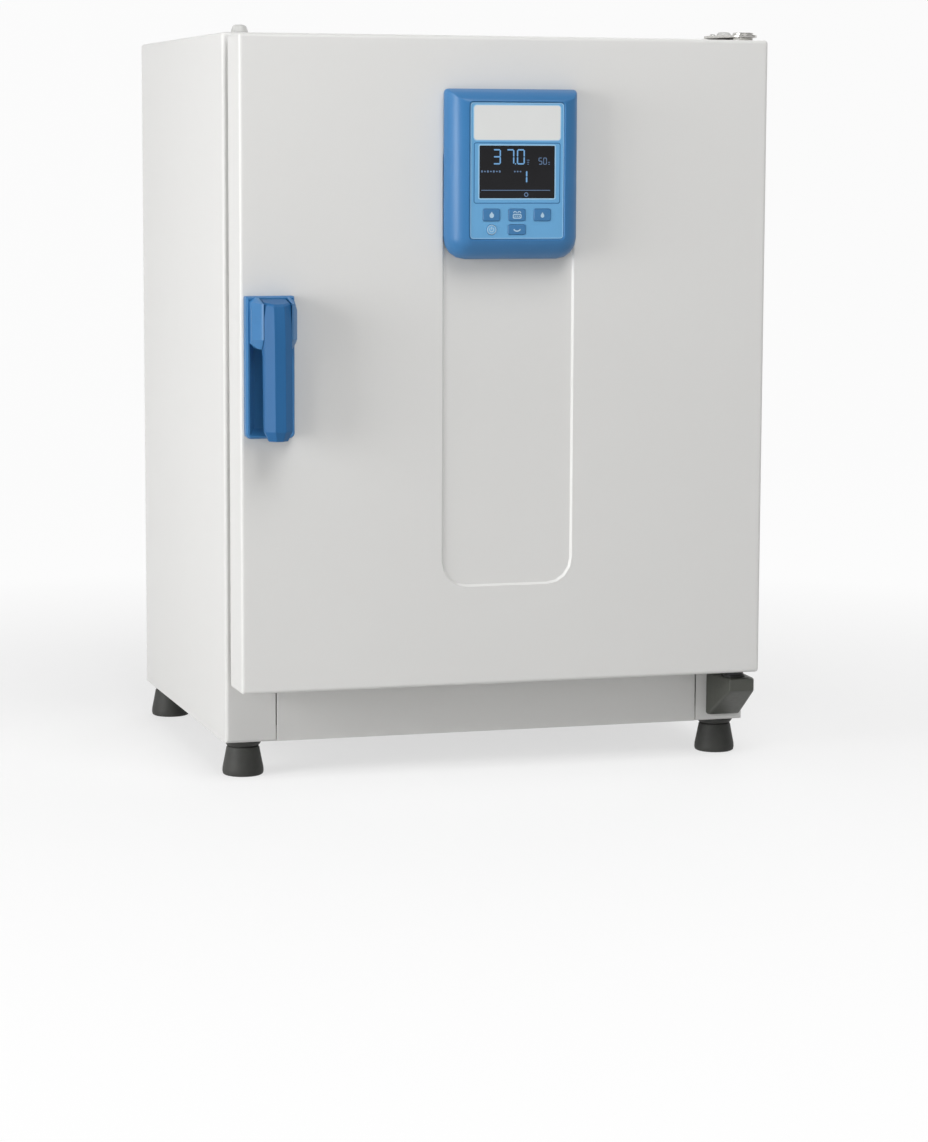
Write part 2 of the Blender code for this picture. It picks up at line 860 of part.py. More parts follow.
def make_door_insulation():
    """The fibre slab between the door's skin and its inner pan."""
    start = door_face + recess_depth + sheet + clearance
    end = door_back - sheet - clearance
    slab = piece(
        "door_insulation",
        prism(door_outline(sheet + clearance), "Y", start, end),
        insulation_fibre,
    )
    floor = door_back - liner_recess_depth - sheet - clearance
    pocket = loft(
        [
            ring_at(liner_recess(liner_draft - sheet - 3 * clearance), "Y", floor),
            ring_at(liner_recess(-sheet - 3 * clearance), "Y", end + clearance),
        ]
    )
    cut(slab, pocket)
    hole = bush_radius + 2 * clearance
    depth = bush_depth + 0.002
    cut(
        slab,
        together(
            [
                turned([(hole, door_bottom), (hole, door_bottom + depth)], (*hinge_axis, 0.0), steps=20),
                turned([(hole, door_top - depth), (hole, door_top)], (*hinge_axis, 0.0), steps=20),
                box(
                    (handle_x - 0.014, start - sheet, hook_pivot_z - 0.020),
                    (handle_x + 0.014, end + sheet, hook_pivot_z + 0.024),
                ),
            ]
        ),
    )
    return slab


def make_gasket():
    """The silicone seal round the door's back, a hollow-looking bulb squeezed between door and housing."""
    middle = (chamber_bottom + chamber_top) / 2
    low = (-gasket_outer_width / 2, middle - gasket_outer_height / 2)
    high = (gasket_outer_width / 2, middle + gasket_outer_height / 2)
    start = door_back + clearance
    end = front - clearance
    rings = []
    for shrink, at in (
        (0.0, start),
        (gasket_width, start),
        (gasket_width, start + 0.002),
        (gasket_width * 0.75, end),
        (gasket_width * 0.25, end),
        (0.0, start + 0.002),
    ):
        rings.append(ring_at(rounded(low, high, 0.016, shrink), "Y", at))
    return piece("door_gasket", loft(rings, hoop=True), silicone)


def make_hinge_plate():
    """The flat upper hinge arm on the roof, with a round nose over the door's axis."""
    x, y = hinge_axis
    left = x + hinge_nose_radius - hinge_plate_width
    outline = [(x + hinge_nose_radius, front + hinge_plate_rear), (left, front + hinge_plate_rear)]
    outline.append((left, front - 0.004))
    for step in range(13):
        angle = radians(205 + step * 155 / 12)
        outline.append((x + hinge_nose_radius * cos(angle), y + hinge_nose_radius * sin(angle)))
    plate = piece(
        "hinge_plate_upper",
        prism(outline, "Z", hinge_plate_low, hinge_plate_low + hinge_plate_thickness),
        bright_steel,
    )
    hole = pin_radius + clearance
    top = hinge_plate_low + hinge_plate_thickness
    cut(plate, turned([(hole, hinge_plate_low - sheet), (hole, top + sheet)], (x, y, 0.0), steps=20))
    return plate


def make_upper_pin():
    """The upper hinge pin, let down through the arm into the door's bush, with a flat cap."""
    low = door_top - bush_depth + 0.002
    seat = hinge_plate_low + hinge_plate_thickness + clearance
    profile = [
        (pin_radius - 0.001, low),
        (pin_radius, low + 0.001),
        (pin_radius, seat),
        (pin_cap_radius, seat),
        (pin_cap_radius, seat + pin_cap_height - 0.0005),
        (pin_cap_radius - 0.0005, seat + pin_cap_height),
    ]
    pin = turned(profile, (*hinge_axis, 0.0))
    return piece("hinge_pin_upper", pin, bright_steel, pivot=(*hinge_axis, 0.0))


def make_bush(name, end, outward, flange_tip):
    """A flanged bearing bush pressed into the end of the door."""
    seat = end + outward * clearance
    inner = end - outward * bush_depth
    bore = pin_radius + clearance
    profile = [
        (bore, inner),
        (bore, flange_tip),
        (bush_flange_radius, flange_tip),
        (bush_flange_radius, seat),
        (bush_radius, seat),
        (bush_radius, inner),
    ]
    return piece(name, turned(profile, (*hinge_axis, 0.0), steps=20, hoop=True), bearing_plastic)


def make_hinge_bracket():
    """The moulded lower hinge bracket on the right post, undercut towards the floor, with a cup on top."""
    right = side - 0.0035
    left = right - bracket_width
    low = body_bottom + bracket_low
    lip = bracket_top - bracket_front_height
    rings = []
    for left_in, right_in, bottom, at, shrink in (
        (0.0, 0.0, low, front - clearance, 0.0),
        (0.0008, 0.0002, low + 0.0005, front - 0.005, 0.0),
        (bracket_taper - 0.0005, 0.0015, lip - 0.0015, front - bracket_reach + 0.003, 0.0),
        (bracket_taper, 0.0020, lip, front - bracket_reach, 0.0012),
    ):
        corners = ((left + left_in, bottom), (right - right_in, bracket_top))
        outline = rounded(*corners, bracket_radius, shrink, steps=3)
        rings.append(ring_at(outline, "Y", at))
    bracket = piece("hinge_bracket_lower", loft(rings), dark_plastic)
    floor = bracket_top - cup_depth
    cut(bracket, turned([(cup_radius, floor), (cup_radius, bracket_top + sheet)], (*hinge_axis, 0.0)))
    return bracket


def make_lower_pin():
    """The lower hinge pin, whose round foot stands in the bracket's cup and carries the door."""
    top = door_bottom + bush_depth - 0.002
    profile = [
        (pin_foot_radius, bracket_top - cup_depth + clearance),
        (pin_foot_radius, pin_foot_top),
        (pin_radius, pin_foot_top),
        (pin_radius, top - 0.001),
        (pin_radius - 0.001, top),
    ]
    pin = turned(profile, (*hinge_axis, 0.0))
    return piece("hinge_pin_lower", pin, dark_plastic, pivot=(*hinge_axis, 0.0))


def bezel_outline(shrink=0.0):
    """The outline of the control unit's frame, square at the top and round at the bottom."""
    low = (-bezel_width / 2, bezel_bottom)
    high = (bezel_width / 2, bezel_bottom + bezel_height)
    radii = (bezel_bottom_radius, bezel_top_radius, bezel_top_radius, bezel_bottom_radius)
    return rounded(low, high, radii, shrink)


def panel_outline(shrink=0.0):
    """The outline of the control panel inside the frame."""
    low = (-panel_width / 2, panel_bottom)
    high = (panel_width / 2, panel_bottom + panel_height)
    return rounded(low, high, panel_radius, shrink)


def make_bezel():
    """The moulded frame of the control unit: a shouldered hood, hollow behind, with a ledge inside."""
    ledge = panel_back + clearance
    rings = [
        ring_at(bezel_outline(), "Y", door_face - clearance),
        ring_at(bezel_outline(), "Y", door_face - bezel_side),
        ring_at(bezel_outline(shoulder_inset * brow_share), "Y", door_face - brow_rise),
        ring_at(bezel_outline(shoulder_inset), "Y", door_face - shoulder_rise),
        ring_at(panel_outline(-rim_lap), "Y", door_face - bezel_rise),
        ring_at(panel_outline(-clearance), "Y", door_face - bezel_rise + rim_round),
        ring_at(panel_outline(-clearance), "Y", ledge),
        ring_at(panel_outline(ledge_inset), "Y", ledge),
        ring_at(panel_outline(ledge_inset), "Y", ledge + bezel_wall),
        ring_at(bezel_outline(shoulder_inset + bezel_wall), "Y", door_face - shoulder_rise + 2 * bezel_wall),
        ring_at(bezel_outline(bezel_wall), "Y", door_face - bezel_side),
        ring_at(bezel_outline(bezel_wall), "Y", door_face - clearance),
    ]
    return piece("control_bezel", loft(rings, hoop=True), blue_plastic)


def key_places():
    """Each key's name, middle and size."""
    row = panel_bottom + key_row_lift
    low_row = panel_bottom + key_low_row_lift
    return {
        "key_left": ((-key_pitch, row), key_size),
        "key_middle": ((0.0, row), key_size),
        "key_right": ((key_pitch, row), key_size),
        "key_lower": ((0.0, low_row), low_key_size),
        "key_standby": ((-key_pitch, low_row), (2 * standby_radius, 2 * standby_radius)),
    }


def key_outline(middle, size, grow=0.0):
    """A key's outline, round where its width is twice the standby key's radius."""
    radius = standby_radius if size[0] == 2 * standby_radius else key_radius
    low = (middle[0] - size[0] / 2, middle[1] - size[1] / 2)
    high = (middle[0] + size[0] / 2, middle[1] + size[1] / 2)
    return rounded(low, high, radius, -grow, steps=3)


def make_panel():
    """The control panel's moulded carrier, with a window, five key holes and four posts for the board."""
    panel = piece("control_panel", prism(panel_outline(), "Y", panel_front, panel_back), light_blue)
    post_x = panel_width / 2 - panel_post_inset
    low_z = panel_bottom + panel_post_inset
    high_z = panel_bottom + panel_height - panel_post_inset
    foot, tip = panel_back - clearance, board_front - clearance
    profile = [(panel_post_radius, foot), (panel_post_radius, tip)]
    posts = [
        turned(profile, (x, 0.0, z), axis="Y", steps=10)
        for x in (-post_x, post_x)
        for z in (low_z, high_z)
    ]
    add(panel, together(posts))
    start, end = panel_front - sheet, panel_back + 0.0005
    holes = [prism(rounded(window_low, window_high, 0.001), "Y", start, end)]
    for middle, size in key_places().values():
        holes.append(prism(key_outline(middle, size, clearance), "Y", start, end))
    cut(panel, together(holes))
    return panel


def make_window():
    """The dark window in front of the display."""
    outline = rounded(window_low, window_high, 0.001, clearance)
    return piece("display_window", prism(outline, "Y", panel_front + 0.0002, panel_back), black_glass)


def make_board():
    """The control board, with the display and the key switches soldered to it."""
    board = piece(
        "control_board",
        prism(panel_outline(0.0035), "Y", board_front, board_front + board_thickness),
        circuit_green,
    )
    display = box(
        (window_low[0] - 0.0018, panel_back + clearance, window_low[1] - 0.0018),
        (window_high[0] + 0.0018, board_front + sheet / 2, window_high[1] + 0.0018),
    )
    switches = [
        turned(
            [(0.0025, board_front - switch_height), (0.0025, board_front + sheet / 2)],
            (middle[0], 0.0, middle[1]),
            axis="Y",
            steps=10,
        )
        for middle, _ in key_places().values()
    ]
    add(board, together([display] + switches))
    return board


def make_key(name, middle, size):
    """A short-travel key with a flange behind the panel and a stem to its switch."""
    flange = panel_back + clearance
    key = piece(
        name,
        loft(
            [
                ring_at(key_outline(middle, size, -0.0004), "Y", panel_front - key_proud),
                ring_at(key_outline(middle, size), "Y", panel_front - key_proud + 0.0004),
                ring_at(key_outline(middle, size), "Y", flange),
                ring_at(key_outline(middle, size, 0.001), "Y", flange),
                ring_at(key_outline(middle, size, 0.001), "Y", flange + key_flange),
            ]
        ),
        key_blue,
        pivot=(middle[0], panel_front, middle[1]),
    )
    stem_end = board_front - switch_height - key_travel - clearance
    stem = turned(
        [(key_stem_radius, flange + key_flange / 2), (key_stem_radius, stem_end)],
        (middle[0], 0.0, middle[1]),
        axis="Y",
        steps=10,
    )
    add(key, stem)
    return key


def handle_outline(shrink=0.0):
    """The outline of the handle's base seen from the front."""
    low = (handle_middle - handle_width / 2, handle_bottom)
    high = (handle_middle + handle_width / 2, handle_top)
    return rounded(low, high, (0.005, 0.0015, 0.0015, 0.005), shrink)


def make_handle_base():
    """The handle's base: a dished tray with two faceted cheeks that hold the lever's trunnions."""
    rim = door_face - handle_rim
    base = piece(
        "handle_base",
        loft(
            [
                ring_at(handle_outline(), "Y", door_face - clearance),
                ring_at(handle_outline(), "Y", rim + 0.003),
                ring_at(handle_outline(0.0015), "Y", rim),
                ring_at(handle_outline(0.0030), "Y", rim),
                ring_at(handle_outline(0.0090), "Y", door_face - handle_floor),
            ]
        ),
        blue_plastic,
    )
    relief = box(
        (handle_x - cheek_inner - 0.001, rim - 0.001, handle_top - 0.0105),
        (handle_x + cheek_inner + 0.001, door_face - handle_floor - 0.001, handle_top - 0.0028),
    )
    cut(base, relief)
    for hand in (-1, 1):
        rings = [
            cheek_section(0.0, hand * cheek_inner),
            cheek_section(0.0025, hand * (cheek_inner + cheek_crease)),
            [
                Vector((handle_x + hand * (cheek_inner + cheek_width), door_face - reach, z))
                for reach, z in (
                    (0.0020, cheek_top - 0.0035),
                    (0.0105, cheek_top - 0.0035),
                    (0.0205, cheek_top - 0.0115),
                    (0.0205, cheek_low + 0.0085),
                    (0.0150, cheek_low + 0.0045),
                    (0.0020, cheek_low + 0.0045),
                )
            ],
        ]
        add(base, loft(rings))
    bore = trunnion_radius + clearance
    reach = cheek_inner + cheek_width - 0.002
    cut(
        base,
        turned([(bore, -reach), (bore, reach)], (handle_x, pivot_y, pivot_z), axis="X", steps=16),
    )
    cut(base, arm_opening(door_face - 0.008, door_face + sheet))
    return base


def cheek_section(setback, x):
    """The outline of a cheek's front part at one distance from the lever's line."""
    tip = cheek_reach - setback
    outline = (
        (0.002, cheek_top),
        (0.014, cheek_top),
        (tip, cheek_top - 0.005),
        (tip, cheek_low + 0.009),
        (tip - 0.007, cheek_low),
        (0.002, cheek_low),
    )
    return [Vector((handle_x + x, door_face - reach, z)) for reach, z in outline]


def lever_section(drop, back, face, shrink, slope):
    """One level cut through the lever: square at the back, with wide chamfers to the narrow face."""
    half = lever_width / 2 - shrink
    half_face = lever_face_width / 2 - shrink / 2
    shoulder = face - (half - half_face) * 0.95
    outline = [
        (-half, back),
        (half, back),
        (half, shoulder),
        (half_face, face),
        (-half_face, face),
        (-half, shoulder),
    ]
    height = handle_top - drop
    return [
        Vector((handle_x + x, door_face - reach, height - slope * (reach - back)))
        for x, reach in outline
    ]


def make_lever():
    """The lever: a hollow moulded bar with trunnions at its head and an arm that reaches the latch."""
    sections = (
        (0.0025, 0.0145, 0.0370, 0.0015, 0.17),
        (0.0040, 0.0140, 0.0390, 0.0, 0.17),
        (0.0180, 0.0100, 0.0410, 0.0, 0.0),
        (0.0330, 0.0100, 0.0425, 0.0, 0.0),
        (0.0435, 0.0200, 0.0428, 0.0, 0.0),
        (0.0555, 0.0270, 0.0432, 0.0, 0.0),
        (0.0925, 0.0285, 0.0440, 0.0, 0.0),
        (0.1238, 0.0295, handle_reach, 0.0, 0.0),
        (0.1328, 0.0315, 0.0415, 0.0042, 0.0),
    )
    rings = [lever_section(*section) for section in sections]
    lever = piece("handle_lever", loft(rings), blue_plastic, pivot=(handle_x, pivot_y, pivot_z))
    half_hollow = lever_hollow_width / 2
    hollow = box(
        (handle_x - half_hollow, door_face - 0.0390, handle_top - 0.1228),
        (handle_x + half_hollow, door_face - 0.0200, handle_top - 0.0595),
    )
    cut(lever, hollow)
    reach = cheek_inner + cheek_width - 0.0025
    trunnions = turned(
        [(trunnion_radius, -reach), (trunnion_radius, reach)],
        (handle_x, pivot_y, pivot_z),
        axis="X",
        steps=16,
    )
    add(lever, trunnions)
    half = arm_width / 2
    add(
        lever,
        box(
            (handle_x - half, door_face - 0.013, pivot_z - arm_height / 2),
            (handle_x + half, door_face + arm_reach, pivot_z + arm_height / 2),
        ),
    )
    return lever


def make_hook():
    """The latch hook, a flat steel bar on its own pivot, whose nose reaches through the striker."""
    half_bar = hook_bar / 2
    tail = door_face + arm_reach - 0.002
    tip = door_face + hook_reach
    profile = [
        (tail, hook_pivot_z - half_bar),
        (tip - 0.006, hook_pivot_z - half_bar),
        (tip - 0.006, hook_pivot_z - half_bar - hook_nose_drop),
        (tip - 0.003, hook_pivot_z - half_bar - hook_nose_drop),
        (tip, hook_pivot_z - half_bar),
        (tip, hook_pivot_z),
        (tip - 0.004, hook_pivot_z + half_bar),
        (tail, hook_pivot_z + half_bar),
    ]
    half = hook_thickness / 2
    pivot = (handle_x, hook_pivot_y, hook_pivot_z)
    hook = piece("latch_hook", prism(profile, "X", handle_x - half, handle_x + half), bright_steel, pivot)
    add(hook, turned([(0.005, -half), (0.005, half)], pivot, axis="X", steps=16))
    bore = latch_pin_radius + clearance
    cut(hook, turned([(bore, -2 * half), (bore, 2 * half)], pivot, axis="X", steps=16))
    return hook


def make_latch_bracket():
    """The folded bracket behind the door's inner pan, with the pin that the hook turns on."""
    inner = hook_thickness / 2 + 2 * clearance
    outer = inner + bracket_sheet
    seat = door_back - sheet - clearance
    bracket = piece(
        "latch_bracket",
        box(
            (handle_x - 0.012, seat - bracket_sheet, hook_pivot_z - 0.018),
            (handle_x + 0.012, seat, hook_pivot_z + 0.022),
        ),
        bright_steel,
    )
    cheeks = [
        box(
            (handle_x + start, hook_pivot_y - 0.006, hook_pivot_z - 0.006),
            (handle_x + end, seat - bracket_sheet / 2, hook_pivot_z + 0.006),
        )
        for start, end in ((-outer, -inner), (inner, outer))
    ]
    add(bracket, together(cheeks))
    cut(
        bracket,
        box(
            (handle_x - inner, seat - 2 * bracket_sheet, hook_pivot_z - 0.012),
            (handle_x + inner, seat + sheet, hook_pivot_z + 0.016),
        ),
    )
    reach = outer + 0.001
    pivot = (handle_x, hook_pivot_y, hook_pivot_z)
    add(bracket, turned([(latch_pin_radius, -reach), (latch_pin_radius, reach)], pivot, axis="X", steps=12))
    return bracket


def make_strike():
    """The striker on the left post: a plate with a window whose lower edge holds the hook's nose."""
    end = front - clearance
    low = hook_pivot_z - strike_height / 2 + 0.002
    left = handle_x - strike_width / 2 - strike_shift
    outline = rounded((left, low), (left + strike_width, low + strike_height), 0.002)
    plate = piece("strike_plate", prism(outline, "Y", end - strike_thickness, end), bright_steel)
    half = strike_window[0] / 2
    nose = hook_pivot_z - hook_bar / 2 - hook_nose_drop
    window = box(
        (handle_x - half, end - 2 * strike_thickness, nose - 2 * clearance),
        (handle_x + half, end + strike_thickness, nose - 2 * clearance + strike_window[1]),
    )
    cut(plate, window)
    return plate


def make_glass():
    """The toughened inner door pane."""
    half = glass_width / 2
    outline = rounded((-half, glass_low), (half, glass_high), 0.003)
    rings = [
        ring_at(rounded((-half, glass_low), (half, glass_high), 0.003, 0.0005), "Y", glass_front),
        ring_at(outline, "Y", glass_front + 0.0005),
        ring_at(outline, "Y", glass_back - 0.0005),
        ring_at(rounded((-half, glass_low), (half, glass_high), 0.003, 0.0005), "Y", glass_back),
    ]
    return piece("glass_pane", loft(rings), clear_glass, pivot=(*glass_axis, 0.0))


def make_glass_seal():
    """The thin silicone lip on the chamber frame that the glass closes against."""
    low = (-chamber_half - seal_gap, chamber_bottom - seal_gap)
    high = (chamber_half + seal_gap, chamber_top + seal_gap)
    start, end = front - clearance - seal_thickness, front - clearance
    rings = []
    for grow, at in ((0.0, start), (0.0, end), (seal_width, end), (seal_width, start)):
        rings.append(ring_at(rounded(low, high, 0.006, -grow), "Y", at))
    return piece("glass_seal", loft(rings, hoop=True), silicone)


def make_glass_fitting(name, edge, outward):
    """A corner fitting bolted to the front of the pane, with a knuckle over its edge for the pivot."""
    start = glass_front - clearance - fitting_thickness
    profile = [
        (start, edge - outward * fitting_height),
        (glass_front - clearance, edge - outward * fitting_height),
        (glass_front - clearance, edge + outward * clearance),
        (glass_back - clearance, edge + outward * clearance),
        (glass_back - clearance, edge + outward * (clearance + knuckle_height)),
        (start, edge + outward * (clearance + knuckle_height)),
    ]
    right = glass_width / 2
    body = prism(profile, "X", right - fitting_width, right)
    fitting = piece(name, body, bright_steel, pivot=(*glass_axis, edge))
    hole = glass_pin_radius + clearance
    ends = sorted((edge - outward * 0.0, edge + outward * (2 * clearance + knuckle_height)))
    cut(fitting, turned([(hole, ends[0]), (hole, ends[1])], (*glass_axis, 0.0), steps=12))
    return fitting


def make_glass_hinge(name, edge, outward):
    """The fixed hinge block on the chamber frame, with the pin that the glass door turns on."""
    seat = edge + outward * (knuckle_height + 2 * clearance)
    tip = seat + outward * 0.0035
    low_z, high_z = sorted((seat, tip))
    hinge = piece(
        name,
        box(
            (glass_axis[0] - 0.006, front - 0.0068, low_z),
            (glass_axis[0] + 0.004, front - clearance, high_z),
        ),
        bright_steel,
    )
    ends = sorted((edge + outward * 2 * clearance, seat + outward * 0.001))
    profile = [(glass_pin_radius, end) for end in ends]
    add(hinge, turned(profile, (*glass_axis, 0.0), steps=12))
    return hinge


def make_glass_knob():
    """The small pull knob on the free edge of the glass door."""
    seat = glass_front - clearance
    profile = [
        (0.0045, seat),
        (0.0035, seat - 0.003),
        (glass_knob_radius, seat - 0.005),
        (glass_knob_radius, seat - glass_knob_reach + 0.001),
        (glass_knob_radius - 0.001, seat - glass_knob_reach),
    ]
    place = (-glass_width / 2 + glass_knob_inset, 0.0, (glass_low + glass_high) / 2)
    return piece("glass_knob", turned(profile, place, axis="Y"), bright_steel)


def make_mains_board():
    """The mains board in the base, with its relays and capacitors as low blocks."""
    x, y = mains_board_place
    half_x, half_y, thick = mains_board_size[0] / 2, mains_board_size[1] / 2, mains_board_size[2]
    low = body_bottom + sheet + standoff_height + clearance
    slab = box((x - half_x, y - half_y, low), (x + half_x, y + half_y, low + thick))
    board = piece("mains_board", slab, circuit_green)
    seat = low + thick / 2
    relays = []
    capacitors = []
    for count in range(3):
        left, near = x + relay_first[0] + count * relay_pitch, y + relay_first[1]
        far_corner = (left + relay_size[0], near + relay_size[1], seat + relay_size[2])
        relays.append(box((left, near, seat), far_corner))
        stand = (x + capacitor_first[0] + count * capacitor_pitch, y + capacitor_first[1], 0.0)
        profile = [(capacitor_radius, seat), (capacitor_radius, seat + capacitor_height)]
        capacitors.append(turned(profile, stand, steps=12))
    add(board, together(relays + capacitors))
    return board


def make_transformer():
    """The low-voltage transformer: a laminated core with its coil standing out of both sides."""
    x, y = transformer_place
    width, depth, height = transformer_size
    low = body_bottom + sheet + clearance
    core = piece(
        "transformer",
        box((x - width / 2, y - depth / 4, low), (x + width / 2, y + depth / 4, low + height)),
        dark_steel,
    )
    coil = rounded((x - width / 4, low + 0.008), (x + width / 4, low + height - 0.008), 0.004)
    add(core, prism(coil, "Y", y - depth / 2, y + depth / 2))
    return core


def make_inlet():
    """The mains inlet in the back: a flange, a body through the panel and a socket with three blades."""
    x, lift = inlet_place
    z = body_bottom + lift
    seat = rear + clearance
    half = (inlet_body[0] / 2, inlet_body[1] / 2)
    wide = (inlet_flange[0] / 2, inlet_flange[1] / 2)
    body = rounded((x - half[0], z - half[1]), (x + half[0], z + half[1]), 0.002)
    flange = rounded((x - wide[0], z - wide[1]), (x + wide[0], z + wide[1]), 0.004)
    inlet = piece(
        "power_inlet",
        loft(
            [
                ring_at(body, "Y", rear - inlet_depth),
                ring_at(body, "Y", seat),
                ring_at(flange, "Y", seat),
                ring_at(flange, "Y", seat + 0.0025),
            ]
        ),
        dark_plastic,
    )
    socket = rounded((x - 0.012, z - 0.008), (x + 0.012, z + 0.008), (0.001, 0.004, 0.004, 0.001))
    cut(inlet, prism(socket, "Y", rear - 0.016, seat + 0.004))
    blades = [
        box((x + dx - 0.001, rear - 0.018, z + dz - 0.002), (x + dx + 0.001, rear - 0.002, z + dz + 0.002))
        for dx, dz in ((-0.007, -0.002), (0.0, 0.002), (0.007, -0.002))
    ]
    add(inlet, together(blades))
    return inlet


def make_spacer(name, x):
    """A wall spacer screwed to the back, which keeps the cabinet off the wall."""
    low = rear + clearance
    profile = [
        (0.014, low),
        (0.014, low + 0.003),
        (0.010, low + 0.005),
        (0.008, rear + spacer_length - 0.004),
        (0.0095, rear + spacer_length - 0.003),
        (0.0095, rear + spacer_length),
    ]
    body = turned(profile, (x, 0.0, body_bottom + spacer_place[1]), axis="Y", steps=20)
    return piece(name, body, dark_plastic)


for leftover in list(bpy.data.objects):
    bpy.data.objects.remove(leftover, do_unlink=True)

painted_steel = finish("painted steel", (0.74, 0.74, 0.72), 0.45)
galvanised_steel = finish("galvanised steel", (0.60, 0.61, 0.62), 0.40, 0.9)
stainless_steel = finish("stainless steel", (0.66, 0.66, 0.66), 0.28, 1.0)
bright_steel = finish("bright steel", (0.72, 0.72, 0.72), 0.25, 1.0)
dark_steel = finish("dark steel", (0.10, 0.10, 0.11), 0.50, 0.6)
blue_plastic = finish("blue plastic", (0.045, 0.190, 0.420), 0.45)
light_blue = finish("light blue panel", (0.130, 0.390, 0.680), 0.40)
key_blue = finish("key blue", (0.045, 0.200, 0.450), 0.45)
black_glass = finish("display window", (0.010, 0.010, 0.013), 0.15)
dark_plastic = finish("dark plastic", (0.070, 0.073, 0.065), 0.55)
frame_plastic = finish("frame plastic", (0.55, 0.56, 0.55), 0.50)
bearing_plastic = finish("bearing plastic", (0.80, 0.80, 0.77), 0.40)
stud_plastic = finish("stud plastic", (0.55, 0.55, 0.53), 0.45)
foot_rubber = finish("foot rubber", (0.060, 0.062, 0.055), 0.70)
silicone = finish("silicone", (0.62, 0.63, 0.64), 0.60)
insulation_fibre = finish("insulation fibre", (0.72, 0.68, 0.52), 0.95)
heater_foil = finish("heater foil", (0.65, 0.55, 0.40), 0.40, 0.6)
circuit_green = finish("circuit board", (0.020, 0.130, 0.060), 0.50)
clear_glass = finish("clear glass", (0.75, 0.82, 0.80), 0.05)

make_housing()
make_fascia()
make_base_tray()
make_rear_panel()
make_deck()
make_chamber_frame()
make_liner()
make_heater()
make_insulation()
make_rack("shelf_rack_left", -1)
make_rack("shelf_rack_right", 1)
for shelf_name, shelf_height in shelf_heights.items():
    make_shelf(shelf_name, shelf_height)
make_probe()
make_vent()
corner_names = ("front_left", "front_right", "rear_left", "rear_right")
for corner_name, (corner_x, corner_y) in zip(corner_names, foot_places()):
    make_foot(f"foot_{corner_name}", corner_x, corner_y)
    if corner_name.startswith("front"):
        make_stud(f"stacking_stud_{corner_name}", corner_x, corner_y)
make_door_skin()
make_door_liner()
make_door_insulation()
make_gasket()
make_hinge_plate()
make_upper_pin()
make_bush("hinge_bush_upper", door_top, 1, hinge_plate_low - clearance)
make_bush("hinge_bush_lower", door_bottom, -1, pin_foot_top + clearance)
make_hinge_bracket()
make_lower_pin()
make_bezel()
make_panel()
make_window()
make_board()
for key_name, (key_middle, key_extent) in key_places().items():
    make_key(key_name, key_middle, key_extent)
make_handle_base()
make_lever()
make_hook()
make_latch_bracket()
make_strike()
make_glass()
make_glass_seal()
make_glass_fitting("glass_fitting_upper", glass_high, 1)
make_glass_fitting("glass_fitting_lower", glass_low, -1)
make_glass_hinge("glass_hinge_upper", glass_high, 1)
make_glass_hinge("glass_hinge_lower", glass_low, -1)
make_glass_knob()
make_mains_board()
make_transformer()
make_inlet()
make_spacer("wall_spacer_left", -spacer_place[0])
make_spacer("wall_spacer_right", spacer_place[0])
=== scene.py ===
"""Bench incubator for a microbiology laboratory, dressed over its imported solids."""

import json
import math

import bmesh
import bpy
from mathutils import Matrix, Vector

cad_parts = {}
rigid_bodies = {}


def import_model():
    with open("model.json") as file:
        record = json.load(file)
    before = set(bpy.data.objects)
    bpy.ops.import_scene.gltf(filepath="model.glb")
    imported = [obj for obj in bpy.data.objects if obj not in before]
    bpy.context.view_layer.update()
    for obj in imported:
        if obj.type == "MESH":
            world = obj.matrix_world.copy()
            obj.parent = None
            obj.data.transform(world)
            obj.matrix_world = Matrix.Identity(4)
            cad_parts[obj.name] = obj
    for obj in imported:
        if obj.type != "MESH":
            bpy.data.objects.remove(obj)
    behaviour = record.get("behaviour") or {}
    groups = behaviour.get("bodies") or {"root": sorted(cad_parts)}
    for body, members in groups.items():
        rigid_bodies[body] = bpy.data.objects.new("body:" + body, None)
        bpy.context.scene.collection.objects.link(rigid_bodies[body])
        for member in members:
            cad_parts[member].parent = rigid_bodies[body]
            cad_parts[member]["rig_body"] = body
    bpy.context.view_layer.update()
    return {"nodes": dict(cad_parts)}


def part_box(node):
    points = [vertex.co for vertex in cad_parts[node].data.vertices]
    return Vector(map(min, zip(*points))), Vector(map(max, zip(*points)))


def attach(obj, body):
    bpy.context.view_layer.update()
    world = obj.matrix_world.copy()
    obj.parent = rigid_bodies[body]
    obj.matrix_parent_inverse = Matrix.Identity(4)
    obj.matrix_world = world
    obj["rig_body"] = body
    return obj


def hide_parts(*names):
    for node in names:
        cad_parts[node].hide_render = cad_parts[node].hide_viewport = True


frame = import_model()
nodes = frame["nodes"]

# The room: a pale sweep of painted board that runs up behind the instrument. Three soft boxes light it,
# one at its left, one above and in front and a weaker one behind, and a dim even sky fills the rest.
scene = bpy.context.scene
scene.view_settings.view_transform = "Standard"

yaw, pitch, roll = math.radians(16.691), math.radians(7.351), math.radians(0.223)
ahead = Vector((math.sin(yaw) * math.cos(pitch), math.cos(yaw) * math.cos(pitch), -math.sin(pitch)))
level = Vector((math.cos(yaw), -math.sin(yaw), 0.0))
upward = level.cross(ahead)
sideways = level * math.cos(roll) + upward * math.sin(roll)
upward = upward * math.cos(roll) - level * math.sin(roll)
image_height = 1142.0
focal_length_in_pixels = 3249.0
camera_place = (-0.9281, -3.1725, 0.5978)
lens = bpy.data.cameras.new("camera")
lens.sensor_fit = "VERTICAL"
lens.sensor_height = 36.0
lens.lens = focal_length_in_pixels / image_height * lens.sensor_height
lens.clip_end = 60.0
camera = bpy.data.objects.new("camera", lens)
camera_turn = Matrix((sideways, upward, -ahead)).transposed().to_4x4()
camera.matrix_world = Matrix.Translation(camera_place) @ camera_turn
scene.collection.objects.link(camera)
scene.camera = camera


